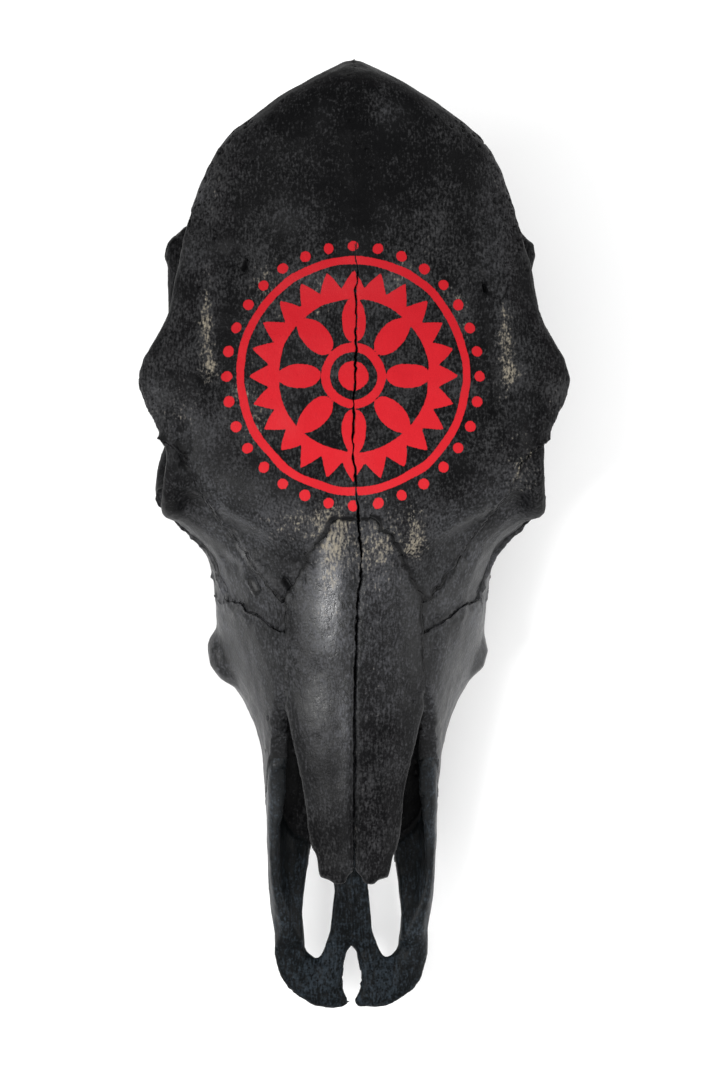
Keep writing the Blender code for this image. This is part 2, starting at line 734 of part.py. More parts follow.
def parted_bones(skull):
    """Parts the skull along its sutures into named bones."""
    paired = [
        take_region(skull, frontal_region, "frontal"),
        take_region(skull, nasal_region, "nasal"),
        take_region(skull, incisive_region, "incisive"),
        take_region(skull, lacrimal_region, "lacrimal"),
        take_region(skull, zygomatic_region, "zygomatic"),
        take_region(skull, palatine_region, "palatine"),
        take_region(skull, temporal_region, "temporal"),
    ]
    bones = [
        take_region(skull, occipital_region, "occipital"),
        take_region(skull, braincase_region, "braincase"),
    ]
    skull.name = "maxilla"
    for piece in [*paired, skull]:
        bones += halves(piece)
    return {bone.name: largest_part(bone) for bone in bones}


# Teeth


def tooth_ring(across, along, half_width, half_length, lobes, level):
    """The outline of a tooth at one level, pinched between its lobes."""
    ring = []
    for angle in turn_angles(18):
        side, end = math.cos(angle), math.sin(angle)
        pinch = 1 - 0.16 * (1 - abs(end)) ** 3 if lobes > 1 else 1.0
        squared = math.copysign(abs(end) ** 0.75, end)
        ring.append((across + half_width * pinch * side, along + half_length * squared, level))
    return ring


def cheek_teeth():
    """The cheek teeth of the +X side, as closed solids that reach up into the jaw."""
    teeth = []
    end = TOOTH_ROW_END
    for length, width, lobes, wear in reversed(CHEEK_TEETH):
        along = end - length / 2
        end -= length
        row = smooth_value(ALVEOLAR_HALF_WIDTH, along) - TOOTH_ROW_INSET
        rings = []
        for level, scale in ((wear, 0.86), (wear + 1.8, 0.98), (13.0, 1.0), (TOOTH_ROOT, 0.84)):
            across = row - 0.06 * (TOOTH_ROOT - level)
            rings.append(tooth_ring(across, along, 0.5 * width * scale, 0.488 * length * scale, lobes, level))
        teeth.append(loft("tooth", rings))
    return teeth


def set_teeth(bones):
    """Joins the cheek teeth to the two upper jaws."""
    for tooth in cheek_teeth():
        mirrored = copy_of(tooth, "mirrored_tooth")
        mirrored.data.transform(Matrix.Scale(-1, 4, (1, 0, 0)))
        mirrored.data.flip_normals()
        boolean(bones["maxilla_left"], tooth, "UNION", "MANIFOLD")
        boolean(bones["maxilla_right"], mirrored, "UNION", "MANIFOLD")
    for name in ("maxilla_left", "maxilla_right"):
        largest_part(bones[name])


# Placing and dressing


def trim_to_floor(bone):
    """Gives a bone a flat where it stands on the floor."""
    corners = ((-200, -50), (200, -50), (200, 600), (-200, 600))
    boolean(bone, loft("slab", [[(x, y, z) for x, y in corners] for z in (-60, 0)]), "DIFFERENCE", "MANIFOLD")


def place_on_origin(bones):
    """Moves the bones so that the middle of the skull's underside box stands on the origin."""
    points = np.array([vertex.co for bone in bones for vertex in bone.data.vertices])
    low, high = points.min(axis=0), points.max(axis=0)
    shift = Matrix.Translation((-(low[0] + high[0]) / 2, -(low[1] + high[1]) / 2, -low[2]))
    for bone in bones:
        bone.data.transform(shift)


def bone_material(name, colour, roughness):
    """A Principled material of one colour, given in linear light."""
    made = bpy.data.materials.new(name)
    made.use_nodes = True
    shader = made.node_tree.nodes["Principled BSDF"]
    shader.inputs["Base Color"].default_value = (*colour, 1.0)
    shader.inputs["Roughness"].default_value = roughness
    shader.inputs["Metallic"].default_value = 0.0
    made.diffuse_color = (*colour, 1.0)
    return made


def dress(bones):
    """Shades the bones and puts them, each with its own material, in the skull's collection."""
    group = bpy.data.collections.new("cow_skull")
    bpy.context.scene.collection.children.link(group)
    for name, bone in bones.items():
        bone.data.name = name
        bone.data.materials.clear()
        bone.data.materials.append(bone_material(name, *BONE_COLOURS[name.split("_")[0]]))
        bone.data.shade_smooth()
        bone.data.set_sharp_from_angle(angle=math.radians(50))
        bpy.context.scene.collection.objects.unlink(bone)
        group.objects.link(bone)


def main():
    """Models the skull, parts it and dresses it."""
    for old in list(bpy.data.objects):
        bpy.data.objects.remove(old)
    bones = parted_bones(whole_skull())
    set_teeth(bones)
    trim_to_floor(bones["occipital"])
    place_on_origin(bones.values())
    dress(bones)


if __name__ == "__main__":
    main()
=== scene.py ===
"""The looks of a cow skull whose bone is stained black, with a red pattern painted on its forehead.

Each bone is copied, given a fine skin, and then grooved along its sutures, pitted and worn as old bone is.
+X is the skull's left side, +Y runs from the nose to the poll and +Z is up. The frame is in metres; sizes
that are named in millimetres are turned to metres by MM, and places on the skull are millimetres in the
frame's own axes.
"""

from __future__ import annotations

import itertools
import logging
import math
from dataclasses import dataclass, field
from enum import Enum

import bmesh
import bpy
import numpy as np
from mathutils import Matrix, Vector
from mathutils.bvhtree import BVHTree

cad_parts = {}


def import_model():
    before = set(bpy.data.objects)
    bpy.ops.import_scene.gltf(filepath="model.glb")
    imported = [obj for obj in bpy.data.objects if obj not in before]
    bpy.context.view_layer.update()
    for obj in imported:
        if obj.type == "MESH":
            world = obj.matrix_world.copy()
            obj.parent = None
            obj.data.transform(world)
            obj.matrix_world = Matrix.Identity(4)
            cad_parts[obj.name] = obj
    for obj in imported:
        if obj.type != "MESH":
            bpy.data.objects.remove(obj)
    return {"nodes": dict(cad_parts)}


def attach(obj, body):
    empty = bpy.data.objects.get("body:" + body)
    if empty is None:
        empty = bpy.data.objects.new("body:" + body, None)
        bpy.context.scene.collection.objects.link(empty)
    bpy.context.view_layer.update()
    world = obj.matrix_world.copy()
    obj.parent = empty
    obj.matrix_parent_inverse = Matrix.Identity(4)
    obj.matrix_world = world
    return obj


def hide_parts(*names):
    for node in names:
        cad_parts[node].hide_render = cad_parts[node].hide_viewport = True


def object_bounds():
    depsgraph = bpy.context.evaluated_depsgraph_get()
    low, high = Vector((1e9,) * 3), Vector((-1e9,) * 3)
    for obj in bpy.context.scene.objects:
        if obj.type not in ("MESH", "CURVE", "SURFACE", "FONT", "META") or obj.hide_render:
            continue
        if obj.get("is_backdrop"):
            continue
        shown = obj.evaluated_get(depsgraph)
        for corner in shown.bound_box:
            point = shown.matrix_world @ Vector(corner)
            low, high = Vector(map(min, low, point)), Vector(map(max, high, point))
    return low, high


LOG = logging.getLogger("cow_skull")
MM = 0.001
FAR_MM = 9.0


class Slot(Enum):
    """The groups of bones that share a finish."""

    FRONTAL = "frontal bone"
    NASAL = "nasal bone"
    INCISIVE = "incisive bone"
    SOCKET = "cheek and socket bone"
    JAW = "upper jaw bone and teeth"
    BASE = "base bone"


class Mark(Enum):
    """What the skin of each bone carries for its material, one number at each vertex."""

    # Also carries the distance to deep pits, whose cores the material darkens as painted shade.
    SEAM = "seam_and_pit_shade_mm"
    WEAR = "wear"
    POROUS = "porous"
    PAINT = "paint_mm"
    TOOTH = "tooth"
    # Darkens hollows as painted shade and makes sharp edges paler.
    HOLLOW = "hollow"
    # Makes the bone glossier, and paints a sheen by making its colour paler.
    SATIN_AND_PAINTED_SHEEN = "satin_and_painted_sheen"


# Numbers over points


def ramp(values: np.ndarray, low: float, high: float) -> np.ndarray:
    """Gives 0 below low and 1 above high, with a smooth rise between."""
    t = np.clip((values - low) / (high - low), 0.0, 1.0)
    return t * t * (3.0 - 2.0 * t)


def bell(distance: np.ndarray, width: float) -> np.ndarray:
    """Gives 1 at no distance and falls off as a bell of this width."""
    return np.exp(-((distance / width) ** 2))


def lattice_noise(points: np.ndarray, grain: float, seed: int) -> np.ndarray:
    """Smooth noise in space.

    Args:
        points: one row for each point.
        grain: the size of the noise's lumps, in the unit of the points.
        seed: picks one of many such fields.

    Returns:
        A number from -1 to 1 for each point.
    """
    cells = points / grain
    corner = np.floor(cells).astype(np.int64)
    part = cells - corner
    ease = part * part * (3.0 - 2.0 * part)
    primes = np.array((73856093, 19349663, 83492791), np.uint64)
    total = np.zeros(len(points))
    for step in itertools.product((0, 1), repeat=3):
        mixed = (corner + np.array(step)).astype(np.uint64) * primes
        mixed = mixed[:, 0] ^ mixed[:, 1] ^ mixed[:, 2] ^ np.uint64(seed * 977 + 1)
        mixed = (mixed ^ (mixed >> np.uint64(15))) * np.uint64(2246822519)
        mixed = (mixed ^ (mixed >> np.uint64(13))) & np.uint64(0xFFFF)
        weight = np.prod(np.where(np.array(step) == 1, ease, 1.0 - ease), axis=1)
        total += (mixed.astype(float) / 0x8000 - 1.0) * weight
    return total


def path_distance(places: np.ndarray, path: tuple[tuple[float, float], ...]) -> np.ndarray:
    """The distance from each place to a line, both seen from above.

    Args:
        places: one row for each place, across and along the skull.
        path: the line's corners.

    Returns:
        A distance for each place, in the places' unit.
    """
    nearest = np.full(len(places), np.inf)
    for start, end in zip(np.array(path[:-1], float), np.array(path[1:], float)):
        along = end - start
        t = np.clip(((places - start) @ along) / (along @ along), 0.0, 1.0)
        nearest = np.minimum(nearest, np.hypot(*(places - start - t[:, None] * along).T))
    return nearest


# Features of the bone


@dataclass(frozen=True)
class Patch:
    """An oval place on the skull, seen from above.

    Args:
        x: across the skull.
        y: along the skull.
        half_x: half of its width.
        half_y: half of its length.
        strength: how much of the feature it brings.
    """

    x: float
    y: float
    half_x: float
    half_y: float
    strength: float = 1.0

    def weight(self, places: np.ndarray) -> np.ndarray:
        """The patch's strength at each place, fading outwards."""
        across = (places[:, 0] - self.x) / self.half_x
        along = (places[:, 1] - self.y) / self.half_y
        return self.strength * np.exp(-(across**2 + along**2))


@dataclass(frozen=True)
class Groove:
    """A groove or a row of pits that vessels leave in the bone, or a ridge where its depth is below 0.

    Args:
        path: its line, seen from above.
        half_width: half of its width.
        depth: how deep it is.
    """

    path: tuple[tuple[float, float], ...]
    half_width: float
    depth: float

    def carve(self, places: np.ndarray) -> np.ndarray:
        """How deep the groove is at each place."""
        return self.depth * bell(path_distance(places, self.path), self.half_width)


@dataclass(frozen=True)
class Sutures:
    """How open, how jagged and how plain to see the joints between the bones are, in millimetres.

    Args:
        width: how far from its joint the crack's edge is rounded.
        jag: the jagged line's height.
        jag_reach: how far from a joint the jags reach.
        jag_axes: their share along each axis.
        jag_grains: the length of the coarse and of the fine jags.
        fine_jag: the fine jags' share.
        calm_from: the station in front of which the joints run calmly.
        calm_to: the station from which they have all their jags.
        calm_jag: the share of the jags that is left in front.
        middle_jag: the share of the jags that the joint in the middle has.
        jagged: where the joints have more jags.
        crack_reach: half of the strip that holds the joint in the middle.
        crack_above: the height above which that joint is one.
        crack: how far each side of it stands back, by stations.
        crack_waver: how unevenly it does, as a share.
        crack_grain: the length of that unevenness.
        bridged: how far short bridges of bone shut the crack.
        bridge_grain: the length of a bridge.
        shut_from: the station from which the crack begins to shut.
        shut_to: the station from which age has shut it.
        shut_within: the distances from a grown joint between which the bone is drawn to it.
        draw: how far it is drawn, as a share.
        fill: how high the bone fills the dip along a grown joint.
        fill_width: how wide that filling is.
        ridge: the height of the ridge along the grown joint in the middle.
        ridge_reach: how wide that ridge is.
        hidden: how much of the dark line of a grown joint the stain hides.
        most_shown: how much wider that line gets at most, where it shows.
        shown: where it shows.
    """

    width: float = 0.8
    jag: float = 1.0
    jag_reach: float = 5.0
    jag_axes: tuple[float, float, float] = (1.0, 1.0, 0.35)
    jag_grains: tuple[float, float] = (5.5, 2.2)
    fine_jag: float = 0.8
    calm_from: float = -75.0
    calm_to: float = -30.0
    calm_jag: float = 0.3
    middle_jag: float = 0.65
    jagged: Patch = Patch(0, -6, 34, 22, 2.2)
    crack_reach: float = 7.0
    crack_above: float = 80.0
    crack: tuple[tuple[float, float], ...] = (
        (-175, 0.1), (-110, 0.2), (-40, 0.35), (10, 0.45), (60, 0.3), (110, 0.1), (130, 0.0), (240, 0.0),
    )
    crack_waver: float = 0.9
    crack_grain: float = 4.0
    bridged: float = 0.5
    bridge_grain: float = 6.0
    shut_from: float = 118.0
    shut_to: float = 142.0
    shut_within: tuple[float, float] = (1.6, 3.6)
    draw: float = 0.75
    fill: float = 0.75
    fill_width: float = 1.5
    ridge: float = 0.25
    ridge_reach: float = 3.5
    hidden: float = 0.5
    most_shown: float = 2.22
    shown: tuple[Patch, ...] = (
        Patch(0, -12, 42, 30, 3.9), Patch(-34, -60, 5, 34, 0.7), Patch(34, -50, 5, 40, 1.8),
        Patch(0, 165, 6, 60, 2.6), Patch(-47, -110, 9, 30, 1.0), Patch(47, -110, 9, 30, 1.0),
    )

    def in_middle(self, points: np.ndarray) -> np.ndarray:
        """Whether each point is by the joint along the middle of the forehead and nose."""
        return (np.abs(points[:, 0]) < self.crack_reach) & (points[:, 2] > self.crack_above)

    def open_here(self, points: np.ndarray, ways: np.ndarray) -> np.ndarray:
        """Whether each point faces the middle crack, and not a joint that meets it."""
        across = np.abs(ways[:, 0]) > 0.6 * np.linalg.norm(ways, axis=1)
        return self.in_middle(points) & across

    def along_middle(self, points: np.ndarray, grain: float, seed: int) -> np.ndarray:
        """Noise that changes along the skull and hardly across it, so both sides of the crack share it."""
        return lattice_noise(points * (0.3, 1.0, 0.3), grain, seed)

    def opening(self, points: np.ndarray, ways: np.ndarray) -> np.ndarray:
        """How far each side of the middle crack draws back.

        Args:
            points: places on the skin.
            ways: the way from each to the nearest other bone.

        Returns:
            Millimetres, 0 away from the crack.
        """
        stations, widths = np.array(self.crack, float).T
        uneven = 1.0 + self.crack_waver * self.along_middle(points, self.crack_grain, 18)
        return np.where(self.open_here(points, ways), uneven * np.interp(points[:, 1], stations, widths), 0.0)

    def grown(self, points: np.ndarray, ways: np.ndarray) -> np.ndarray:
        """How far age has grown the joint together.

        Args:
            points: places on the skin.
            ways: the way from each to the nearest other bone.

        Returns:
            From 0, open, to 1, grown together.
        """
        bridged = self.bridged * ramp(self.along_middle(points, self.bridge_grain, 17), 0.1, 0.7)
        shut = np.maximum(ramp(points[:, 1], self.shut_from, self.shut_to), bridged)
        return np.where(self.open_here(points, ways), shut, 1.0)

    def drawn(self, seam: np.ndarray, ways: np.ndarray, grown: np.ndarray) -> np.ndarray:
        """Moves that bring both sides of a grown joint together, until their rounded edges touch."""
        close = 1.0 - ramp(seam, *self.shut_within)
        return ways * (self.draw * close * grown)[:, None]

    def veil(self, points: np.ndarray) -> np.ndarray:
        """How much of the line of a grown joint the stain hides, in millimetres of its half-width."""
        bare = sum(patch.weight(points) for patch in self.shown)
        return np.maximum(self.hidden - bare + 0.5 * lattice_noise(points, 5.0, 21), -self.most_shown)

    def wander(self, points: np.ndarray, seam: np.ndarray) -> np.ndarray:
        """Moves that make both sides of a joint jagged alike, because they depend on the place alone.

        Args:
            points: places on the skin.
            seam: the distance from each to the nearest other bone.

        Returns:
            A move for each point.
        """
        calm = self.calm_jag + (1.0 - self.calm_jag) * ramp(points[:, 1], self.calm_from, self.calm_to)
        local = np.where(self.in_middle(points), self.middle_jag, 1.0 + self.jagged.weight(points))
        fade = (bell(seam, self.jag_reach) * calm * local)[:, None]
        coarse, fine = (
            np.stack([lattice_noise(points, grain, seed) for seed in seeds], axis=1)
            for grain, seeds in zip(self.jag_grains, ((11, 12, 13), (14, 15, 16)))
        )
        return self.jag * fade * (coarse + self.fine_jag * fine) * np.array(self.jag_axes)


@dataclass(frozen=True)
class PaintedSun:
    """The painted pattern: a sun of rings, petals, a zigzag and dots, in millimetres.

    Its signed distance is below 0 where the paint is.
    """

    centre: tuple[float, float] = (-1.0, 74.0)
    hub: float = 7.5
    rings: tuple[tuple[float, float], ...] = ((14.0, 2.2), (40.5, 2.6), (57.0, 2.0))
    petals: int = 8
    petal_middle: float = 27.5
    petal_half_length: float = 11.0
    petal_half_width: float = 6.2
    teeth: int = 24
    teeth_inner: float = 43.0
    teeth_height: float = 9.5
    dots: int = 32
    dot_ring: float = 64.0
    dot_radius: float = 2.7
    waver: float = 0.5

    def distance(self, points: np.ndarray) -> np.ndarray:
        """The signed distance to the pattern's edge at each point, seen from above.

        Args:
            points: places on the bone, in millimetres.

        Returns:
            Millimetres, below 0 inside the paint.
        """
        hand = np.stack([lattice_noise(points, 9.0, seed) for seed in (31, 32)], axis=1)
        place = points[:, :2] - np.array(self.centre) + self.waver * hand
        radius = np.hypot(*place.T)
        turn = np.arctan2(place[:, 0], place[:, 1]) / (2.0 * math.pi)
        found = radius - self.hub
        for middle, half in self.rings:
            found = np.minimum(found, np.abs(radius - middle) - half)
        across = self.arc(turn, self.petals) * radius
        bulge = 1.0 - ((radius - self.petal_middle) / self.petal_half_length) ** 2
        petal = np.abs(across) - self.petal_half_width * np.sqrt(np.clip(bulge, 0.0, 1.0))
        petal = np.maximum(petal, np.abs(radius - self.petal_middle) - self.petal_half_length)
        found = np.minimum(found, petal)
        spread = np.abs(self.arc(turn, self.teeth)) * self.teeth / math.pi
        tip = self.teeth_inner + self.teeth_height * (1.0 - spread)
        found = np.minimum(found, 0.6 * (radius - tip))
        hollow = 0.6 * (self.rings[1][0] - radius)
        found = np.where(radius < self.rings[1][0], np.minimum(self.inner(radius, petal), hollow), found)
        dots = np.hypot(self.arc(turn, self.dots) * radius, radius - self.dot_ring) - self.dot_radius
        return np.minimum(found, dots)

    def inner(self, radius: np.ndarray, petal: np.ndarray) -> np.ndarray:
        """The signed distance to the hub, the inner ring, the petals and the inside of the middle ring.

        Args:
            radius: the distance of each place from the pattern's centre.
            petal: its signed distance to the nearest petal.

        Returns:
            Millimetres, below 0 inside the paint.
        """
        middle, half = self.rings[0]
        found = np.minimum(radius - self.hub, np.abs(radius - middle) - half)
        found = np.minimum(found, petal)
        return np.minimum(found, np.abs(radius - self.rings[1][0]) - self.rings[1][1])

    @staticmethod
    def arc(turn: np.ndarray, count: int) -> np.ndarray:
        """The angle, in radians, from each place to the middle of the nearest of so many like motifs."""
        return (np.mod(turn * count + 0.5, 1.0) - 0.5) * 2.0 * math.pi / count


# Materials


def linear(colour: str) -> tuple[float, float, float, float]:
    """Turns an sRGB hex colour to linear light."""
    parts = [int(colour[i : i + 2], 16) / 255 for i in (1, 3, 5)]
    red, green, blue = (c / 12.92 if c <= 0.04045 else ((c + 0.055) / 1.055) ** 2.4 for c in parts)
    return red, green, blue, 1.0


def per_metre(size_mm: float) -> float:
    """A texture's scale for lumps of this size."""
    return 1.0 / (size_mm * MM)


class Graph:
    """A node tree that is being built."""

    def __init__(self, tree: bpy.types.NodeTree) -> None:
        """Starts with an empty tree."""
        self.tree = tree
        tree.nodes.clear()

    def add(self, kind: str, settings: dict | None = None, inputs: dict | None = None) -> bpy.types.Node:
        """Adds a node.

        Args:
            kind: Blender's name for the node's type.
            settings: its settings by name.
            inputs: a value or another node's output for each input, by name or number.

        Returns:
            The node.
        """
        node = self.tree.nodes.new(kind)
        for name, value in (settings or {}).items():
            setattr(node, name, value)
        for name, value in (inputs or {}).items():
            if isinstance(value, bpy.types.NodeSocket):
                self.tree.links.new(value, node.inputs[name])
            else:
                node.inputs[name].default_value = value
        return node


@dataclass(frozen=True)
class StainedBone:
    """Dry bone stained black with a rubbed-in dye, which leaves a satin charcoal over a lengthwise grain.

    Where handling has rubbed it, the tan of the bone comes through between the fibres. Where the bone is
    smooth its colour is paler, as a painted sheen, and deep pits, painted pores and hollows are darkened as
    painted shade. The fibres and the grit are drawn a few times as coarse as the real ones, which would be
    too fine to show in the render.

    Args:
        name: the finish's name.
        ground: the dye where it lies thick.
        bloom: the dye where it lies thin and dusty.
        painted_sheen_ground: the same as ground, but paler as a painted sheen where the bone is smooth.
        painted_sheen_bloom: the same as bloom, but paler as a painted sheen where the bone is smooth.
        worn: the bone that shows through.
        deep: dark joints, and painted shade in deep pits, painted pores and hollows.
        roughness: of the porous bone.
        satin_roughness: of the smooth bone.
        sheen_level: the specular level of the porous bone, which dust dulls.
        satin_sheen_level: the specular level of the smooth bone.
        mottle_mm: the size of the clouds in the dye.
        fibre_mm: a fibre's width and length.
        grit_mm: the size of the finest grain.
        blotch_mm: the size of the worn spots.
        pore_mm: the spacing of the pores painted as dark dots of shade, between the open ones.
        grain_depth: how much the fibres stand out.
        dusty_within: the values between which the dye turns from thick to thin.
        rubbed_within: the values between which the bone begins to show.
    """

    name: str
    ground: str = "#030304"
    bloom: str = "#303031"
    painted_sheen_ground: str = "#07080a"
    painted_sheen_bloom: str = "#414247"
    worn: str = "#7b7466"
    deep: str = "#020203"
    roughness: float = 0.56
    satin_roughness: float = 0.36
    sheen_level: float = 0.06
    satin_sheen_level: float = 0.36
    mottle_mm: float = 16.0
    fibre_mm: tuple[float, float] = (1.1, 4.6)
    grit_mm: float = 1.2
    blotch_mm: float = 6.5
    pore_mm: float = 2.6
    grain_depth: float = 0.45
    dusty_within: tuple[float, float] = (1.12, 1.74)
    rubbed_within: tuple[float, float] = (2.05, 2.72)

    def mask(self, graph: Graph, value: object, low: float, high: float) -> bpy.types.NodeSocket:
        """A smooth rise from 0 to 1 as a value passes from low to high."""
        steps = {"interpolation_type": "SMOOTHSTEP"}
        return graph.add("ShaderNodeMapRange", steps, {0: value, 1: low, 2: high}).outputs[0]

    def mixed(self, graph: Graph, factor: object, first: object, second: object) -> bpy.types.NodeSocket:
        """A colour between two others."""
        node = graph.add("ShaderNodeMix", {"data_type": "RGBA"}, {0: factor, 6: first, 7: second})
        return node.outputs[2]

    def total(self, graph: Graph, terms: list[tuple[object, float]]) -> bpy.types.NodeSocket:
        """Adds up values.

        Args:
            graph: the material's graph.
            terms: each value with its share.

        Returns:
            The sum of the values times their shares.
        """
        found: object = 0.0
        for value, share in terms:
            settings = {"operation": "MULTIPLY_ADD"}
            found = graph.add("ShaderNodeMath", settings, {0: value, 1: share, 2: found}).outputs[0]
        return found

    def mark(self, graph: Graph, mark: Mark) -> bpy.types.NodeSocket:
        """What the skin carries under this name."""
        return graph.add("ShaderNodeAttribute", {"attribute_name": mark.value}).outputs["Fac"]

    def material(self) -> bpy.types.Material:
        """Builds the material.

        Returns:
            A material whose colour, gloss and relief come from the skin's marks and from procedural grain.
        """
        made = bpy.data.materials.new(self.name)
        made.use_nodes = True
        graph = Graph(made.node_tree)
        place = graph.add("ShaderNodeTexCoord").outputs["Object"]
        wide, long = (per_metre(size) for size in self.fibre_mm)
        stretched = graph.add(
            "ShaderNodeMapping", {"vector_type": "POINT"}, {"Vector": place, "Scale": (wide, long, wide)}
        ).outputs[0]
        fibre, mottle, blotch, grit = (
            graph.add("ShaderNodeTexNoise", None, {"Vector": where, "Scale": scale, "Detail": detail,
                                                   "Roughness": rough, "Distortion": twist}).outputs[0]
            for where, scale, detail, rough, twist in (
                (stretched, 1.0, 1.5, 0.6, 0.0),
                (place, per_metre(self.mottle_mm), 6.0, 0.62, 0.0),
                (place, per_metre(self.blotch_mm), 5.0, 0.6, 0.8),
                (place, per_metre(self.grit_mm), 1.0, 0.6, 0.0),
            )
        )
        pores = graph.add(
            "ShaderNodeTexVoronoi", {"feature": "F1"},
            {"Vector": place, "Scale": per_metre(self.pore_mm), "Randomness": 1.0}
        ).outputs[0]
        marks = (Mark.SEAM, Mark.WEAR, Mark.POROUS, Mark.HOLLOW, Mark.SATIN_AND_PAINTED_SHEEN)
        seam, wear, porous, hollow, satin_and_painted_sheen = (self.mark(graph, mark) for mark in marks)
        dusty = self.total(graph, [(mottle, 0.8), (fibre, 1.0), (grit, 0.7), (wear, 0.4), (porous, 0.12)])
        dusty = self.mask(graph, dusty, *self.dusty_within)
        colour = self.mixed(graph, dusty, linear(self.ground), linear(self.bloom))
        # Painted sheen: on smooth bone, paler colours stand in for a highlight.
        painted_sheen_colour = self.mixed(graph, dusty, linear(self.painted_sheen_ground), linear(self.painted_sheen_bloom))
        colour = self.mixed(graph, satin_and_painted_sheen, colour, painted_sheen_colour)
        rubbed = self.total(graph, [(wear, 0.9), (blotch, 0.8), (fibre, 1.5), (grit, 0.8), (hollow, -0.2)])
        rubbed = self.mask(graph, rubbed, *self.rubbed_within)
        colour = self.mixed(graph, rubbed, colour, linear(self.worn))
        # Painted shade: dark dots as pores, most where the bone is porous.
        pit = self.total(graph, [(porous, 0.20), (mottle, 0.18), (pores, -1.0)])
        pit = self.mask(graph, pit, 0.0, 0.08)
        colour = self.mixed(graph, pit, colour, linear(self.deep))
        # Dark joints, and painted shade in deep pits and hollows, with less on sharp edges.
        dark_joint_and_painted_shade = self.total(graph, [(seam, -1.0), (fibre, 0.8), (hollow, 0.5)])
        dark_joint_and_painted_shade = self.mask(graph, dark_joint_and_painted_shade, -0.45, 0.35)
        colour = self.mixed(graph, dark_joint_and_painted_shade, colour, linear(self.deep))
        height = self.total(graph, [(fibre, self.grain_depth), (grit, 0.4), (mottle, 0.5), (pit, -0.9)])
        colour, gloss, height = self.finish_coat(graph, colour, height, place, fibre, mottle, seam)
        bump = graph.add(
            "ShaderNodeBump", None, {"Strength": 0.55, "Distance": 0.5 * MM, "Height": height}
        ).outputs[0]
        sheen = graph.add(
            "ShaderNodeMapRange", {"clamp": False},
            {0: satin_and_painted_sheen, 1: 0.0, 2: 1.0, 3: self.sheen_level, 4: self.satin_sheen_level}
        ).outputs[0]
        shader = graph.add(
            "ShaderNodeBsdfPrincipled", None,
            {"Base Color": colour, "Roughness": gloss, "Normal": bump, "Metallic": 0.0, "IOR": 1.5,
             "Specular IOR Level": sheen}
        )
        graph.add("ShaderNodeOutputMaterial", None, {"Surface": shader.outputs[0]})
        return made

    def finish_coat(self, graph: Graph, colour: object, height: object, place: object, fibre: object,
                    mottle: object, seam: object) -> tuple[object, object, object]:
        """What lies over the stain: nothing but the gloss of the bone itself.

        Args:
            graph: the material's graph.
            colour: the colour so far.
            height: the relief so far.
            place: the place on the bone.
            fibre: the bone's grain.
            mottle: the bone's mottling.
            seam: the distance to the nearest joint, or to a deep pit whose core is darkened as painted shade.

        Returns:
            The colour, the roughness and the relief.
        """
        satin_and_painted_sheen = self.mark(graph, Mark.SATIN_AND_PAINTED_SHEEN)
        rough = graph.add(
            "ShaderNodeMapRange", {"clamp": False},
            {0: satin_and_painted_sheen, 1: 0.0, 2: 1.0, 3: self.roughness, 4: self.satin_roughness}
        ).outputs[0]
        return colour, self.total(graph, [(rough, 1.0), (fibre, 0.5), (mottle, 0.3), (0.4, -1.0)]), height


@dataclass(frozen=True)
class PaintedBone(StainedBone):
    """Stained bone with a pattern brushed on in signal-red enamel, thin enough to show the grain.

    Args:
        red_low: the red at the pattern's lower end.
        red_high: the red further up, which lies a little darker.
        paint_roughness: of the dry enamel.
        edge_mm: how soft the brushed edge is.
        edge_waver: how far the grain draws the edge in.
        rise_mm: how far up the red darkens.
        fibre_mm: a fibre's width and length.
    """

    red_low: str = "#b31b23"
    red_high: str = "#9c131c"
    paint_roughness: float = 0.5
    edge_mm: float = 0.22
    edge_waver: float = 0.6
    rise_mm: float = 150.0
    fibre_mm: tuple[float, float] = (1.1, 2.8)

    def finish_coat(self, graph: Graph, colour: object, height: object, place: object, fibre: object,
                    mottle: object, seam: object) -> tuple[object, object, object]:
        """Lays the paint over the stain, with a wavering edge, and leaves it off the crack in the middle."""
        colour, rough, height = super().finish_coat(graph, colour, height, place, fibre, mottle, seam)
        edge = self.total(graph, [(self.mark(graph, Mark.PAINT), -1.0), (fibre, 0.7), (mottle, 0.5)])
        layer = self.mask(graph, edge, self.edge_waver - self.edge_mm, self.edge_waver + self.edge_mm)
        unbroken = self.total(graph, [(seam, 1.0), (fibre, -1.6), (mottle, -0.6)])
        unbroken = self.mask(graph, unbroken, -0.75, -0.2)
        layer = graph.add("ShaderNodeMath", {"operation": "MULTIPLY"}, {0: layer, 1: unbroken}).outputs[0]
        along = graph.add("ShaderNodeSeparateXYZ", None, {0: place}).outputs[1]
        rise = self.mask(graph, along, 0.0, self.rise_mm * MM)
        brushed = self.total(graph, [(rise, 0.75), (mottle, 0.5), (fibre, 0.3)])
        brushed = self.mask(graph, brushed, 0.2, 1.25)
        red = self.mixed(graph, brushed, linear(self.red_low), linear(self.red_high))
        colour = self.mixed(graph, layer, colour, red)
        rough = graph.add(
            "ShaderNodeMapRange", None, {0: layer, 1: 0.0, 2: 1.0, 3: rough, 4: self.paint_roughness}
        ).outputs[0]
        return colour, rough, self.total(graph, [(height, 1.0), (layer, 0.25)])


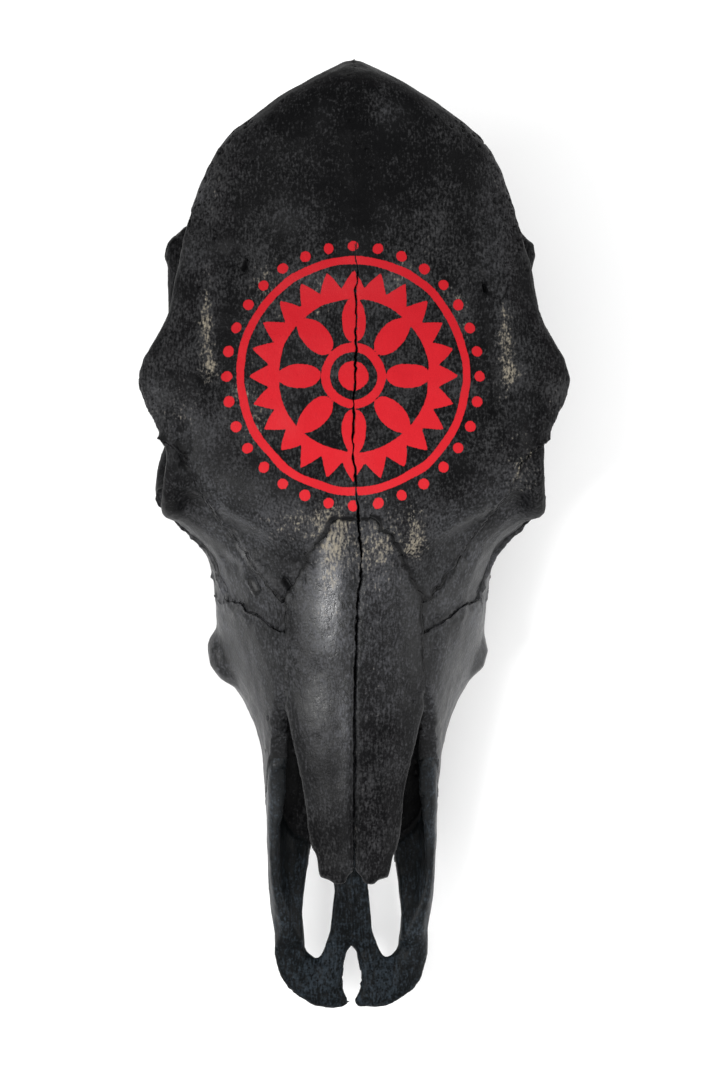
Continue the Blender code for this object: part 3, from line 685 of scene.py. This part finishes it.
@dataclass(frozen=True)
class StainedJaw(StainedBone):
    """Stained bone whose teeth took the dye as a thin brown-black glaze over hard, shiny enamel."""

    enamel: str = "#4a4238"
    enamel_roughness: float = 0.34

    def finish_coat(self, graph: Graph, colour: object, height: object, place: object, fibre: object,
                    mottle: object, seam: object) -> tuple[object, object, object]:
        """Gives the teeth their own colour and gloss."""
        colour, rough, height = super().finish_coat(graph, colour, height, place, fibre, mottle, seam)
        tooth = self.mark(graph, Mark.TOOTH)
        shade = self.total(graph, [(tooth, 0.55), (mottle, 0.9), (fibre, 0.5)])
        shade = self.mask(graph, shade, 0.8, 1.5)
        stained = graph.add("ShaderNodeMath", {"operation": "MULTIPLY"}, {0: tooth, 1: shade}).outputs[0]
        colour = self.mixed(graph, stained, colour, linear(self.enamel))
        rough = graph.add(
            "ShaderNodeMapRange", None, {0: tooth, 1: 0.0, 2: 1.0, 3: rough, 4: self.enamel_roughness}
        ).outputs[0]
        return colour, rough, height


# Skins


@dataclass(frozen=True)
class Pores:
    """The open pores of spongy bone, which Geometry Nodes scatter over porous parts and sink into the skin.

    Args:
        per_square_metre: how many there are where the bone is most porous.
        radius: the widest pore's.
        depth: the deepest pore's.
        least: the narrowest pore's radius, as a share of the widest one's.
        gather: how strongly they gather where the bone is most porous.
        seed: picks their places.
    """

    per_square_metre: float = 80000.0
    radius: float = 1.6 * MM
    depth: float = 1.9 * MM
    least: float = 0.55
    gather: float = 1.5
    seed: int = 7

    def tree(self) -> bpy.types.NodeTree:
        """Builds the node group.

        Returns:
            A geometry group with inputs for density, radius, depth, seed and material.
        """
        tree = bpy.data.node_groups.new("pores", "GeometryNodeTree")
        face = tree.interface
        face.new_socket("Skin", in_out="INPUT", socket_type="NodeSocketGeometry")
        for name, kind in (("Density", "Float"), ("Radius", "Float"), ("Depth", "Float"), ("Seed", "Int"),
                           ("Material", "Material")):
            face.new_socket(name, in_out="INPUT", socket_type=f"NodeSocket{kind}")
        face.new_socket("Skin", in_out="OUTPUT", socket_type="NodeSocketGeometry")
        graph = Graph(tree)
        given = graph.add("NodeGroupInput").outputs
        porous = graph.add(
            "GeometryNodeInputNamedAttribute", {"data_type": "FLOAT"}, {"Name": Mark.POROUS.value}
        ).outputs[0]
        often = graph.add("ShaderNodeMath", {"operation": "POWER"}, {0: porous, 1: self.gather}).outputs[0]
        often = graph.add("ShaderNodeMath", {"operation": "MULTIPLY"}, {0: often, 1: given["Density"]})
        points = graph.add(
            "GeometryNodeDistributePointsOnFaces", {"distribute_method": "RANDOM"},
            {"Mesh": given["Skin"], "Density": often.outputs[0], "Seed": given["Seed"]}
        ).outputs["Points"]
        near = graph.add("GeometryNodeProximity", {"target_element": "POINTS"}, {"Geometry": points})
        wide = graph.add(
            "FunctionNodeRandomValue", {"data_type": "FLOAT"}, {2: self.least, 3: 1.0, "Seed": given["Seed"]}
        ).outputs[1]
        reach = graph.add("ShaderNodeMath", {"operation": "MULTIPLY"}, {0: wide, 1: given["Radius"]})
        sunk = graph.add(
            "ShaderNodeMapRange", {"interpolation_type": "SMOOTHSTEP"},
            {0: near.outputs["Distance"], 1: reach.outputs[0], 2: 0.0, 3: 0.0, 4: given["Depth"]}
        ).outputs[0]
        down = graph.add("ShaderNodeMath", {"operation": "MULTIPLY"}, {0: sunk, 1: -1.0}).outputs[0]
        normal = graph.add("GeometryNodeInputNormal").outputs[0]
        offset = graph.add("ShaderNodeVectorMath", {"operation": "SCALE"}, {0: normal, "Scale": down})
        moved = graph.add(
            "GeometryNodeSetPosition", None, {"Geometry": given["Skin"], "Offset": offset.outputs[0]}
        ).outputs[0]
        whole = graph.add("GeometryNodeRealizeInstances", None, {0: moved}).outputs[0]
        dressed = graph.add(
            "GeometryNodeSetMaterial", None, {"Geometry": whole, "Material": given["Material"]}
        ).outputs[0]
        graph.add("NodeGroupOutput", None, {0: dressed})
        return tree

    def sink(self, skin: bpy.types.Object, tree: bpy.types.NodeTree, material: bpy.types.Material) -> None:
        """Runs the group on a skin and keeps the mesh that it makes.

        Args:
            skin: the bone's skin.
            tree: the node group.
            material: the bone's finish.
        """
        modifier = skin.modifiers.new("pores", "NODES")
        modifier.node_group = tree
        sizes = {"Density": self.per_square_metre, "Radius": self.radius, "Depth": self.depth,
                 "Seed": self.seed, "Material": material}
        for item in tree.interface.items_tree:
            if item.in_out == "INPUT" and item.name in sizes:
                modifier[item.identifier] = sizes[item.name]
        keep_result(skin)


def keep_result(piece: bpy.types.Object) -> None:
    """Replaces a piece's mesh with the one that its modifiers make, and removes them."""
    graph = bpy.context.evaluated_depsgraph_get()
    graph.update()
    mesh = bpy.data.meshes.new_from_object(piece.evaluated_get(graph))
    piece.modifiers.clear()
    piece.data = mesh


@dataclass(frozen=True)
class Relief:
    """The features that the weather, the vessels and the muscles leave on the whole skull, in millimetres.

    Args:
        sutures: the joints between the bones.
        grooves: vessel grooves and pits, and ridges.
        lumps: the size, height and seed of the unevenness all over, from wide to fine.
        rough: where muscles have roughened the bone.
        rough_depth: how deep that roughness is.
        rough_grain: how long it is.
        edge_reach: how near a joint the bone stays even.
        porous: where spongy bone lies open.
        worn: where the dye is rubbed off, or below 0 where it lies thick.
        satin_and_painted_sheen: where the bone is smooth and glossy, and its colour is paler as a painted
            sheen, most of all in a narrow painted highlight on the right nasal bone.
        pit_depth: the depth from which a groove gets painted shade inside.
        tooth_top: the height where the teeth meet the jaw.
        rib: the height of the ribs on the sides of the teeth.
        rib_spacing: from one rib to the next.
        cup: how deep the worn faces are hollowed.
    """

    sutures: Sutures = Sutures()
    grooves: tuple[Groove, ...] = (
        Groove(((-74, 60), (-74, 90), (-72, 118), (-63, 131)), 4.0, 1.1),
        Groove(((66, 58), (64, 85), (62, 110), (61, 124)), 4.0, 1.1),
        Groove(((-80, 70), (-79, 100), (-80, 125)), 5.0, -0.9),
        Groove(((78, 72), (78, 100), (80, 125)), 5.0, -0.9),
        Groove(((-66, 136), (-57, 131)), 4.0, 1.4),
        Groove(((-56.5, 128), (-55.5, 132)), 1.7, 3.6),
        Groove(((68, 116), (63, 122)), 3.4, 1.2),
        Groove(((66.5, 118), (65.5, 120.5)), 1.5, 3.2),
        Groove(((-68, -12), (-62, -17)), 2.6, 1.4),
        Groove(((-53.5, -24), (-51, -29)), 1.5, 2.4),
        Groove(((44, -46), (40, -56), (41, -60)), 2.6, 1.5),
        Groove(((58, -14), (47, -22), (43, -30)), 2.6, 1.3),
        Groove(((-36, -25), (-33.5, -29)), 1.4, 3.4),
        Groove(((-90, 42), (-86, 35), (-85, 30)), 1.9, 2.2),
        Groove(((0, 150), (-1, 185), (0, 225)), 5.0, -0.8),
    )
    lumps: tuple[tuple[float, float, int], ...] = ((26.0, 0.55, 1), (9.0, 0.28, 2), (3.6, 0.13, 3))
    rough: tuple[Patch, ...] = (
        Patch(-86, 160, 14, 26), Patch(88, 158, 14, 26), Patch(-108, 72, 12, 18), Patch(108, 72, 12, 18),
        Patch(0, -225, 36, 18, 0.8), Patch(-92, 30, 12, 16, 0.7), Patch(92, 30, 12, 16, 0.7),
    )
    rough_depth: float = 0.55
    rough_grain: float = 4.2
    edge_reach: float = 1.6
    porous: tuple[Patch, ...] = (
        Patch(-82, 176, 15, 32, 1.3), Patch(82, 174, 13, 32, 1.3), Patch(-60, 204, 20, 14, 0.8),
        Patch(60, 204, 20, 14, 0.8), Patch(0, 200, 10, 26, 0.35),
        Patch(-108, 66, 10, 20, 0.7), Patch(108, 66, 10, 20, 0.7), Patch(0, -222, 40, 16, 0.7),
        Patch(-36, -100, 6, 30, 0.5), Patch(38, -100, 6, 30, 0.5),
    )
    worn: tuple[Patch, ...] = (
        Patch(-75, 100, 3.5, 24, 0.8), Patch(-72, 79, 4, 7, 0.6), Patch(-59, 67, 5, 6, 0.75),
        Patch(-88, 56, 9, 12, 0.45), Patch(-45, 118, 8, 16, 0.5), Patch(-50, 52, 8, 14, 0.4),
        Patch(-15, 119, 14, 16, 0.4), Patch(20, 125, 12, 14, 0.35), Patch(-31, 171, 24, 14, 0.22),
        Patch(-10, 205, 9, 12, 0.25), Patch(14, 208, 8, 10, 0.3), Patch(40, 150, 22, 24, 0.2),
        Patch(0, 150, 12, 50, -0.35), Patch(0, 190, 90, 50, -0.35), Patch(-64, 96, 5, 22, -0.4),
        Patch(66, 92, 5, 22, -0.3), Patch(-100, 30, 14, 24, -0.25), Patch(76, 96, 5, 16, 0.7),
        Patch(-33, -130, 7, 36, -0.6), Patch(33, -130, 7, 36, -0.6),
        Patch(79, 75, 6, 9, 0.65), Patch(52, 108, 8, 14, 0.35), Patch(84, 28, 9, 16, 0.5),
        Patch(-30, 2, 22, 10, 0.5), Patch(32, -2, 12, 14, 0.45), Patch(-11, -10, 10, 22, 0.75),
        Patch(12, -12, 10, 22, 0.65), Patch(30, -8, 4, 12, 0.5), Patch(-14, -45, 7, 26, 0.4),
        Patch(-104, 60, 7, 12, 0.3), Patch(104, 62, 7, 12, 0.3), Patch(10, -80, 10, 40, 0.2),
        Patch(-72, 176, 12, 26, 0.4), Patch(74, 172, 10, 26, 0.3), Patch(58, 200, 14, 12, 0.25),
        Patch(0, 95, 95, 75, 0.16),
    )
    # Smooth, glossy places whose colour is paler as a painted sheen; the narrow first patch is a painted
    # highlight on the right nasal bone, and the wide ones on the upper jaw's sides paint its sheen there.
    satin_and_painted_sheen: tuple[Patch, ...] = (
        Patch(-13, -36, 5, 22, 1.0), Patch(-13, -28, 13, 26, 0.5), Patch(-17, -75, 15, 50, 0.6),
        Patch(-5, -100, 4, 40, 0.6), Patch(17, -60, 16, 50, 0.35), Patch(-46, -128, 9, 34, 0.5),
        Patch(46, -128, 9, 34, 0.5),
        Patch(10, -10, 14, 20, 0.4), Patch(-63, -62, 24, 50, 1.0), Patch(64, -62, 24, 50, 1.0),
        Patch(-66, -8, 24, 26, 0.45), Patch(68, -8, 24, 26, 0.45), Patch(-80, 40, 30, 30, 0.25),
        Patch(-45, -185, 9, 30, 0.25), Patch(40, -190, 10, 30, 0.35),
    )
    pit_depth: float = 1.5
    tooth_top: float = 24.0
    rib: float = 0.5
    rib_spacing: float = 7.5
    cup: float = 1.1

    def patches(self, places: np.ndarray, chosen: tuple[Patch, ...]) -> np.ndarray:
        """The weight of some patches together at each place."""
        return np.clip(sum(patch.weight(places) for patch in chosen), -0.6, 1.6)

    def pits(self) -> list[Groove]:
        """The grooves that are deep enough to look black inside."""
        return [groove for groove in self.grooves if groove.depth > self.pit_depth]


@dataclass
class BoneSkin:
    """One bone's visible skin.

    Args:
        node: the solid's name, and the piece's.
        slot: the group that its finish comes from.
        cad: the solid.
        others: a tree of all other solids, to find the joints by.
        relief: the features of the skull.
        paint: the pattern, on the bones that carry it.
        voxel: the size of the skin's faces.
    """

    node: str
    slot: Slot
    cad: bpy.types.Object
    others: BVHTree
    relief: Relief
    paint: PaintedSun | None = None
    voxel: float = 1.15 * MM
    piece: bpy.types.Object = field(init=False)

    def build(self, low: Vector, high: Vector) -> None:
        """Makes the skin, wears it and keeps it within the solids' box.

        Args:
            low: the box's lowest corner.
            high: the box's highest corner.
        """
        self.lay_skin()
        points, normals = self.geometry()
        seam, ways = self.seam_reach(points)
        sutures = self.relief.sutures
        grown = sutures.grown(points, ways)
        opening = sutures.opening(points, ways)
        points += sutures.drawn(seam, ways, grown)
        points += sutures.wander(points, seam)
        sunk = self.sunk(points, normals, seam, grown) + opening * bell(seam, sutures.width)
        points -= normals * sunk[:, None]
        if self.slot is Slot.JAW:
            self.wear_teeth(points, normals)
        points = np.clip(points, np.array(low) / MM, np.array(high) / MM)
        self.piece.data.vertices.foreach_set("co", (points * MM).ravel())
        self.piece.data.update()
        self.mark_skin(points, seam, grown)

    def lay_skin(self) -> None:
        """Copies the solid, merges its loose triangles and lays an even fine skin over it."""
        work = bmesh.new()
        work.from_mesh(self.cad.data)
        bmesh.ops.remove_doubles(work, verts=work.verts, dist=0.01 * MM)
        mesh = bpy.data.meshes.new(f"{self.node}_skin")
        work.to_mesh(mesh)
        work.free()
        self.piece = bpy.data.objects.new(f"{self.node}_skin", mesh)
        bpy.context.scene.collection.objects.link(self.piece)
        remesh = self.piece.modifiers.new("skin", "REMESH")
        remesh.mode = "VOXEL"
        remesh.voxel_size = self.voxel
        ease = self.piece.modifiers.new("ease", "SMOOTH")
        ease.factor = 0.5
        ease.iterations = 4
        keep_result(self.piece)

    def geometry(self) -> tuple[np.ndarray, np.ndarray]:
        """The skin's points, in millimetres, and its normals."""
        mesh = self.piece.data
        points = np.empty(len(mesh.vertices) * 3)
        mesh.vertices.foreach_get("co", points)
        normals = np.empty(len(mesh.vertices) * 3)
        mesh.vertex_normals.foreach_get("vector", normals)
        return points.reshape(-1, 3) / MM, normals.reshape(-1, 3)

    def seam_reach(self, points: np.ndarray) -> tuple[np.ndarray, np.ndarray]:
        """The distance from each point to the nearest other bone, up to a limit, and the way there.

        Args:
            points: places on the skin, in millimetres.

        Returns:
            The distances and the ways, in millimetres.
        """
        distances = np.full(len(points), FAR_MM)
        ways = np.zeros_like(points)
        for i, point in enumerate(points):
            place, _, _, distance = self.others.find_nearest(Vector(point * MM), FAR_MM * MM)
            if place is not None:
                distances[i] = distance / MM
                ways[i] = np.array(place) / MM - point
        return distances, ways

    def sunk(self, points: np.ndarray, normals: np.ndarray, seam: np.ndarray,
             grown: np.ndarray) -> np.ndarray:
        """How far each point sinks below the plain skin.

        Args:
            points: places on the skin.
            normals: the way that each faces.
            seam: the distance from each to the nearest other bone.
            grown: how far the joint there has grown together.

        Returns:
            Millimetres, below 0 where the skin rises.
        """
        relief, sutures = self.relief, self.relief.sutures
        up = ramp(normals[:, 2], 0.1, 0.5)
        inside = 1.0 - bell(seam, relief.edge_reach)
        depth = sum(-size * lattice_noise(points, grain, seed) for grain, size, seed in relief.lumps) * inside
        rough = relief.patches(points, relief.rough) * lattice_noise(points, relief.rough_grain, 4)
        depth += relief.rough_depth * rough * inside
        depth += sum(groove.carve(points[:, :2]) for groove in relief.grooves) * up * inside
        depth -= sutures.fill * bell(seam, sutures.fill_width) * grown
        ridge = bell(seam, sutures.ridge_reach) * grown * sutures.in_middle(points)
        depth -= sutures.ridge * ridge * up * (0.7 + 0.5 * lattice_noise(points, 4.0, 5))
        return depth

    def wear_teeth(self, points: np.ndarray, normals: np.ndarray) -> None:
        """Ribs the sides of the cheek teeth and hollows the dentine between the enamel of their worn faces.

        Args:
            points: places on the skin, which it moves.
            normals: the way that each faces.
        """
        relief = self.relief
        crown = 1.0 - ramp(points[:, 2], relief.tooth_top - 6.0, relief.tooth_top)
        side = np.abs(normals[:, 0]) ** 2
        rib = relief.rib * np.sin(points[:, 1] * 2.0 * math.pi / relief.rib_spacing)
        points[:, 0] += np.sign(normals[:, 0]) * rib * crown * side
        for middle, half in self.tooth_boxes():
            local = (points[:, :2] - middle) / half
            within = (np.abs(local) < 1.05).all(axis=1) & (points[:, 2] < 3.0) & (normals[:, 2] < -0.4)
            edge = 1.0 - np.maximum(np.abs(local[:, 0]), np.abs(local[:, 1]))
            bow = np.abs(np.abs(local[:, 0]) - 0.2 - 0.35 * np.cos(local[:, 1] * math.pi) ** 2)
            dentine = ramp(edge, 0.12, 0.28) * ramp(bow, 0.08, 0.2)
            points[:, 2] += np.where(within, relief.cup * dentine, 0.0)

    def tooth_boxes(self) -> list[tuple[np.ndarray, np.ndarray]]:
        """Finds the worn tooth faces.

        Returns:
            The middle and the half sizes of each, seen from below, from front to back.
        """
        low = np.array([v.co for v in self.cad.data.vertices]) / MM
        low = low[low[:, 2] < 2.5]
        ordered = low[np.argsort(low[:, 1])]
        breaks = np.flatnonzero(np.diff(ordered[:, 1]) > 0.35) + 1
        groups = [group for group in np.split(ordered, breaks) if np.ptp(group[:, 1]) > 6.0]
        return [((g.min(0)[:2] + g.max(0)[:2]) / 2, np.ptp(g, axis=0)[:2] / 2) for g in groups]

    def mark_skin(self, points: np.ndarray, seam: np.ndarray, grown: np.ndarray) -> None:
        """Stores what the material reads from the skin.

        Args:
            points: places on the skin.
            seam: the distance from each to the nearest other bone.
            grown: how far the joint there has grown together.
        """
        _, normals = self.geometry()
        up = ramp(normals[:, 2], 0.0, 0.5)
        relief = self.relief
        # Painted shade: deep pits, on faces that look up, get a dark core through the joint mark.
        pits = [path_distance(points[:, :2], pit.path) - 0.2 * pit.depth for pit in relief.pits()]
        pits = np.min(pits, axis=0)
        # Painted sheen, and gloss: where the colour is made paler and the bone glossier.
        satin_and_painted_sheen = relief.patches(points, relief.satin_and_painted_sheen) + 0.2 * lattice_noise(points, 17.0, 23)
        marks = {
            Mark.SEAM: np.minimum(seam + relief.sutures.veil(points) * grown, pits + 1.5 * (1.0 - up)),
            Mark.WEAR: relief.patches(points, relief.worn) * up,
            Mark.POROUS: relief.patches(points, relief.porous) * ramp(normals[:, 2], -0.2, 0.2),
            Mark.PAINT: self.painted(points, normals),
            Mark.TOOTH: 1.0 - ramp(points[:, 2], relief.tooth_top - 3.0, relief.tooth_top + 1.0),
            Mark.HOLLOW: self.hollowness(points, normals),
            Mark.SATIN_AND_PAINTED_SHEEN: np.maximum(satin_and_painted_sheen, 0.0),
        }
        for mark, values in marks.items():
            layer = self.piece.data.attributes.new(mark.value, "FLOAT", "POINT")
            layer.data.foreach_set("value", values.astype(np.float32))

    def painted(self, points: np.ndarray, normals: np.ndarray) -> np.ndarray:
        """The signed distance to the pattern's edge, which only the upper side of the forehead carries."""
        if self.paint is None:
            return np.full(len(points), FAR_MM)
        return self.paint.distance(points) + FAR_MM * (1.0 - ramp(normals[:, 2], 0.2, 0.5))

    def hollowness(self, points: np.ndarray, normals: np.ndarray) -> np.ndarray:
        """How hollow the skin is, for painted shade in hollows, paler sharp edges and less wear in hollows.

        Args:
            points: places on the skin.
            normals: the way that each faces.

        Returns:
            From -1 on a sharp edge to 1 in a narrow pit.
        """
        mesh = self.piece.data
        ends = np.empty(len(mesh.edges) * 2, np.int64)
        mesh.edges.foreach_get("vertices", ends)
        first, second = ends.reshape(-1, 2).T
        lean = ((points[second] - points[first]) * (normals[first] - normals[second])).sum(axis=1)
        count = np.bincount(first, minlength=len(points)) + np.bincount(second, minlength=len(points))
        found = (np.bincount(first, lean, len(points)) + np.bincount(second, lean, len(points))) / count
        for _ in range(6):
            spread = np.bincount(first, found[second], len(points))
            spread += np.bincount(second, found[first], len(points))
            found = 0.5 * found + 0.5 * spread / count
        return np.clip(found * 4.0, -1.0, 1.0)

    def dress(self, material: bpy.types.Material, pores: Pores, tree: bpy.types.NodeTree) -> None:
        """Sinks the pores, shades the skin and puts it in the solid's place.

        Args:
            material: the bone's finish.
            pores: the pores' sizes.
            tree: the node group that sinks them.
        """
        pores.sink(self.piece, tree, material)
        mesh = self.piece.data
        mesh.materials.clear()
        mesh.materials.append(material)
        mesh.shade_smooth()
        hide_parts(self.node)
        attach(self.piece, "root")
        LOG.info("%s: %d faces", self.piece.name, len(mesh.polygons))


@dataclass
class CowSkull:
    """All the skull's bones, in their finishes."""

    nodes: dict[str, bpy.types.Object]
    relief: Relief = Relief()
    paint: PaintedSun = PaintedSun()
    pores: Pores = Pores()
    forehead_voxel: float = 0.95 * MM

    SLOTS = {
        "frontal": Slot.FRONTAL,
        "nasal": Slot.NASAL,
        "incisive": Slot.INCISIVE,
        "lacrimal": Slot.SOCKET,
        "zygomatic": Slot.SOCKET,
        "maxilla": Slot.JAW,
    }
    FINISHES = {
        Slot.FRONTAL: PaintedBone("black_stained_bone_painted_red"),
        Slot.NASAL: StainedBone("black_stained_bone_satin", roughness=0.46),
        Slot.INCISIVE: StainedBone("black_stained_bone_blue_black", ground="#040607", bloom="#252c32",
                                   painted_sheen_ground="#080c10", painted_sheen_bloom="#39414a", roughness=0.46),
        Slot.SOCKET: StainedBone("black_stained_bone_worn"),
        Slot.JAW: StainedJaw("black_stained_jaw_and_enamel"),
        Slot.BASE: StainedBone("black_stained_bone_matt", roughness=0.62),
    }

    def build(self, low: Vector, high: Vector) -> None:
        """Makes every bone's skin.

        Args:
            low: the solids' lowest corner.
            high: the solids' highest corner.
        """
        materials = {slot: finish.material() for slot, finish in self.FINISHES.items()}
        tree = self.pores.tree()
        shapes = {name: self.triangles(node) for name, node in self.nodes.items()}
        for name, node in self.nodes.items():
            slot = self.SLOTS.get(name.split("_")[0], Slot.BASE)
            bone = BoneSkin(name, slot, node, self.others(shapes, name), self.relief)
            if slot is Slot.FRONTAL:
                bone.paint = self.paint
                bone.voxel = self.forehead_voxel
            bone.build(low, high)
            bone.dress(materials[slot], self.pores, tree)

    @staticmethod
    def triangles(node: bpy.types.Object) -> tuple[list[Vector], list[tuple[int, ...]]]:
        """A solid's points and faces."""
        mesh = node.data
        return [v.co.copy() for v in mesh.vertices], [tuple(p.vertices) for p in mesh.polygons]

    @staticmethod
    def others(shapes: dict, name: str) -> BVHTree:
        """Joins all solids but one.

        Args:
            shapes: each solid's points and faces, by its name.
            name: the solid that is left out.

        Returns:
            A search tree of the others.
        """
        points: list[Vector] = []
        faces: list[tuple[int, ...]] = []
        for other, (corners, polygons) in shapes.items():
            if other == name:
                continue
            start = len(points)
            points += corners
            faces += [tuple(start + i for i in polygon) for polygon in polygons]
        return BVHTree.FromPolygons(points, faces)


# Studio


@dataclass(frozen=True)
class SoftLight:
    """A soft square light that faces the skull.

    Args:
        azimuth: its side, in degrees from the nose end towards the skull's left.
        elevation: its height above the floor, in degrees.
        distance: from the skull.
        size: its edge.
        power: in watts.
    """

    azimuth: float
    elevation: float
    distance: float
    size: float
    power: float

    def build(self, name: str, aim: Vector) -> None:
        """Adds the light.

        Args:
            name: the lamp's name.
            aim: the point that it faces.
        """
        light = bpy.data.lights.new(name, "AREA")
        light.size = self.size
        light.energy = self.power
        lamp = bpy.data.objects.new(name, light)
        turn, rise = math.radians(self.azimuth), math.radians(self.elevation)
        back = Vector((math.sin(turn) * math.cos(rise), -math.cos(turn) * math.cos(rise), math.sin(rise)))
        lamp.location = aim + back * self.distance
        lamp.rotation_euler = (-back).to_track_quat("-Z", "Y").to_euler()
        bpy.context.scene.collection.objects.link(lamp)


@dataclass(frozen=True)
class Studio:
    """A pale floor, soft light from both sides, and the photo's view from above.

    Args:
        aim: the point that the lights and the camera face.
        camera_distance: from that point.
        lean_forward: how far the camera leans from the upright towards the nose, in degrees.
        lean_side: how far it leans towards the skull's right, in degrees.
        roll: how far it is turned about its axis, in degrees.
        frame_height: what it takes in at its aim, from top to bottom.
        sensor: its sensor's width, in millimetres.
        floor_size: the floor's edge.
        floor_colour: the backdrop paper's.
        world_colour: the colour of the light from all round.
        world_strength: its strength.
        lights: the lamps, the last of them a narrow one that leaves a highlight on the right nasal bone.
    """

    aim: Vector = Vector((3.5 * MM, -1.7 * MM, 110.0 * MM))
    camera_distance: float = 2.0
    lean_forward: float = 9.0
    lean_side: float = 2.0
    roll: float = 0.4
    frame_height: float = 556.2 * MM
    sensor: float = 36.0
    floor_size: float = 12.0
    floor_colour: str = "#fdfdfd"
    world_colour: str = "#ffffff"
    world_strength: float = 0.86
    lights: tuple[SoftLight, ...] = (
        SoftLight(-72.0, 44.0, 1.7, 0.9, 14.0),
        SoftLight(78.0, 32.0, 1.7, 1.2, 15.0),
        SoftLight(-8.0, 50.0, 1.8, 0.9, 4.0),
        SoftLight(-52.0, 61.0, 1.7, 0.28, 8.0),
    )

    def build(self) -> None:
        """Adds the floor, the lights, the world and the camera."""
        self.build_floor()
        for number, light in enumerate(self.lights):
            light.build(f"soft_light_{number + 1}", self.aim)
        world = bpy.data.worlds.new("studio")
        world.use_nodes = True
        background = world.node_tree.nodes["Background"]
        background.inputs["Color"].default_value = linear(self.world_colour)
        background.inputs["Strength"].default_value = self.world_strength
        bpy.context.scene.world = world
        bpy.context.scene.view_settings.view_transform = "Standard"
        self.build_camera()

    def build_floor(self) -> None:
        """Adds a wide matt floor."""
        work = bmesh.new()
        bmesh.ops.create_grid(work, x_segments=1, y_segments=1, size=self.floor_size / 2)
        mesh = bpy.data.meshes.new("floor")
        work.to_mesh(mesh)
        work.free()
        floor = bpy.data.objects.new("floor", mesh)
        bpy.context.scene.collection.objects.link(floor)
        paper = bpy.data.materials.new("white_backdrop_paper")
        paper.use_nodes = True
        shader = paper.node_tree.nodes["Principled BSDF"]
        shader.inputs["Base Color"].default_value = linear(self.floor_colour)
        shader.inputs["Roughness"].default_value = 0.9
        shader.inputs["Specular IOR Level"].default_value = 0.1
        mesh.materials.append(paper)
        floor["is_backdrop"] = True

    def build_camera(self) -> None:
        """Adds the camera, nearly straight above the skull and a little towards its nose and its right."""
        lens = bpy.data.cameras.new("camera")
        lens.sensor_width = self.sensor
        lens.lens = self.sensor * self.camera_distance / self.frame_height
        camera = bpy.data.objects.new("camera", lens)
        forward, side = math.radians(self.lean_forward), math.radians(self.lean_side)
        level = math.cos(forward)
        back = Vector((-math.sin(side) * level, -math.sin(forward), math.cos(side) * level)).normalized()
        right = Vector((0.0, 1.0, 0.0)).cross(back).normalized()
        right = Matrix.Rotation(-math.radians(self.roll), 3, back) @ right
        camera.location = self.aim + back * self.camera_distance
        camera.rotation_euler = Matrix((right, back.cross(right), back)).transposed().to_euler()
        bpy.context.scene.collection.objects.link(camera)
        bpy.context.scene.camera = camera


def main() -> None:
    """Dresses the skull and sets the studio round it."""
    logging.basicConfig(level=logging.INFO, format="%(name)s: %(message)s")
    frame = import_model()
    cad_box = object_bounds()
    Studio().build()
    CowSkull(frame["nodes"]).build(*cad_box)


if __name__ == "__main__":
    main()
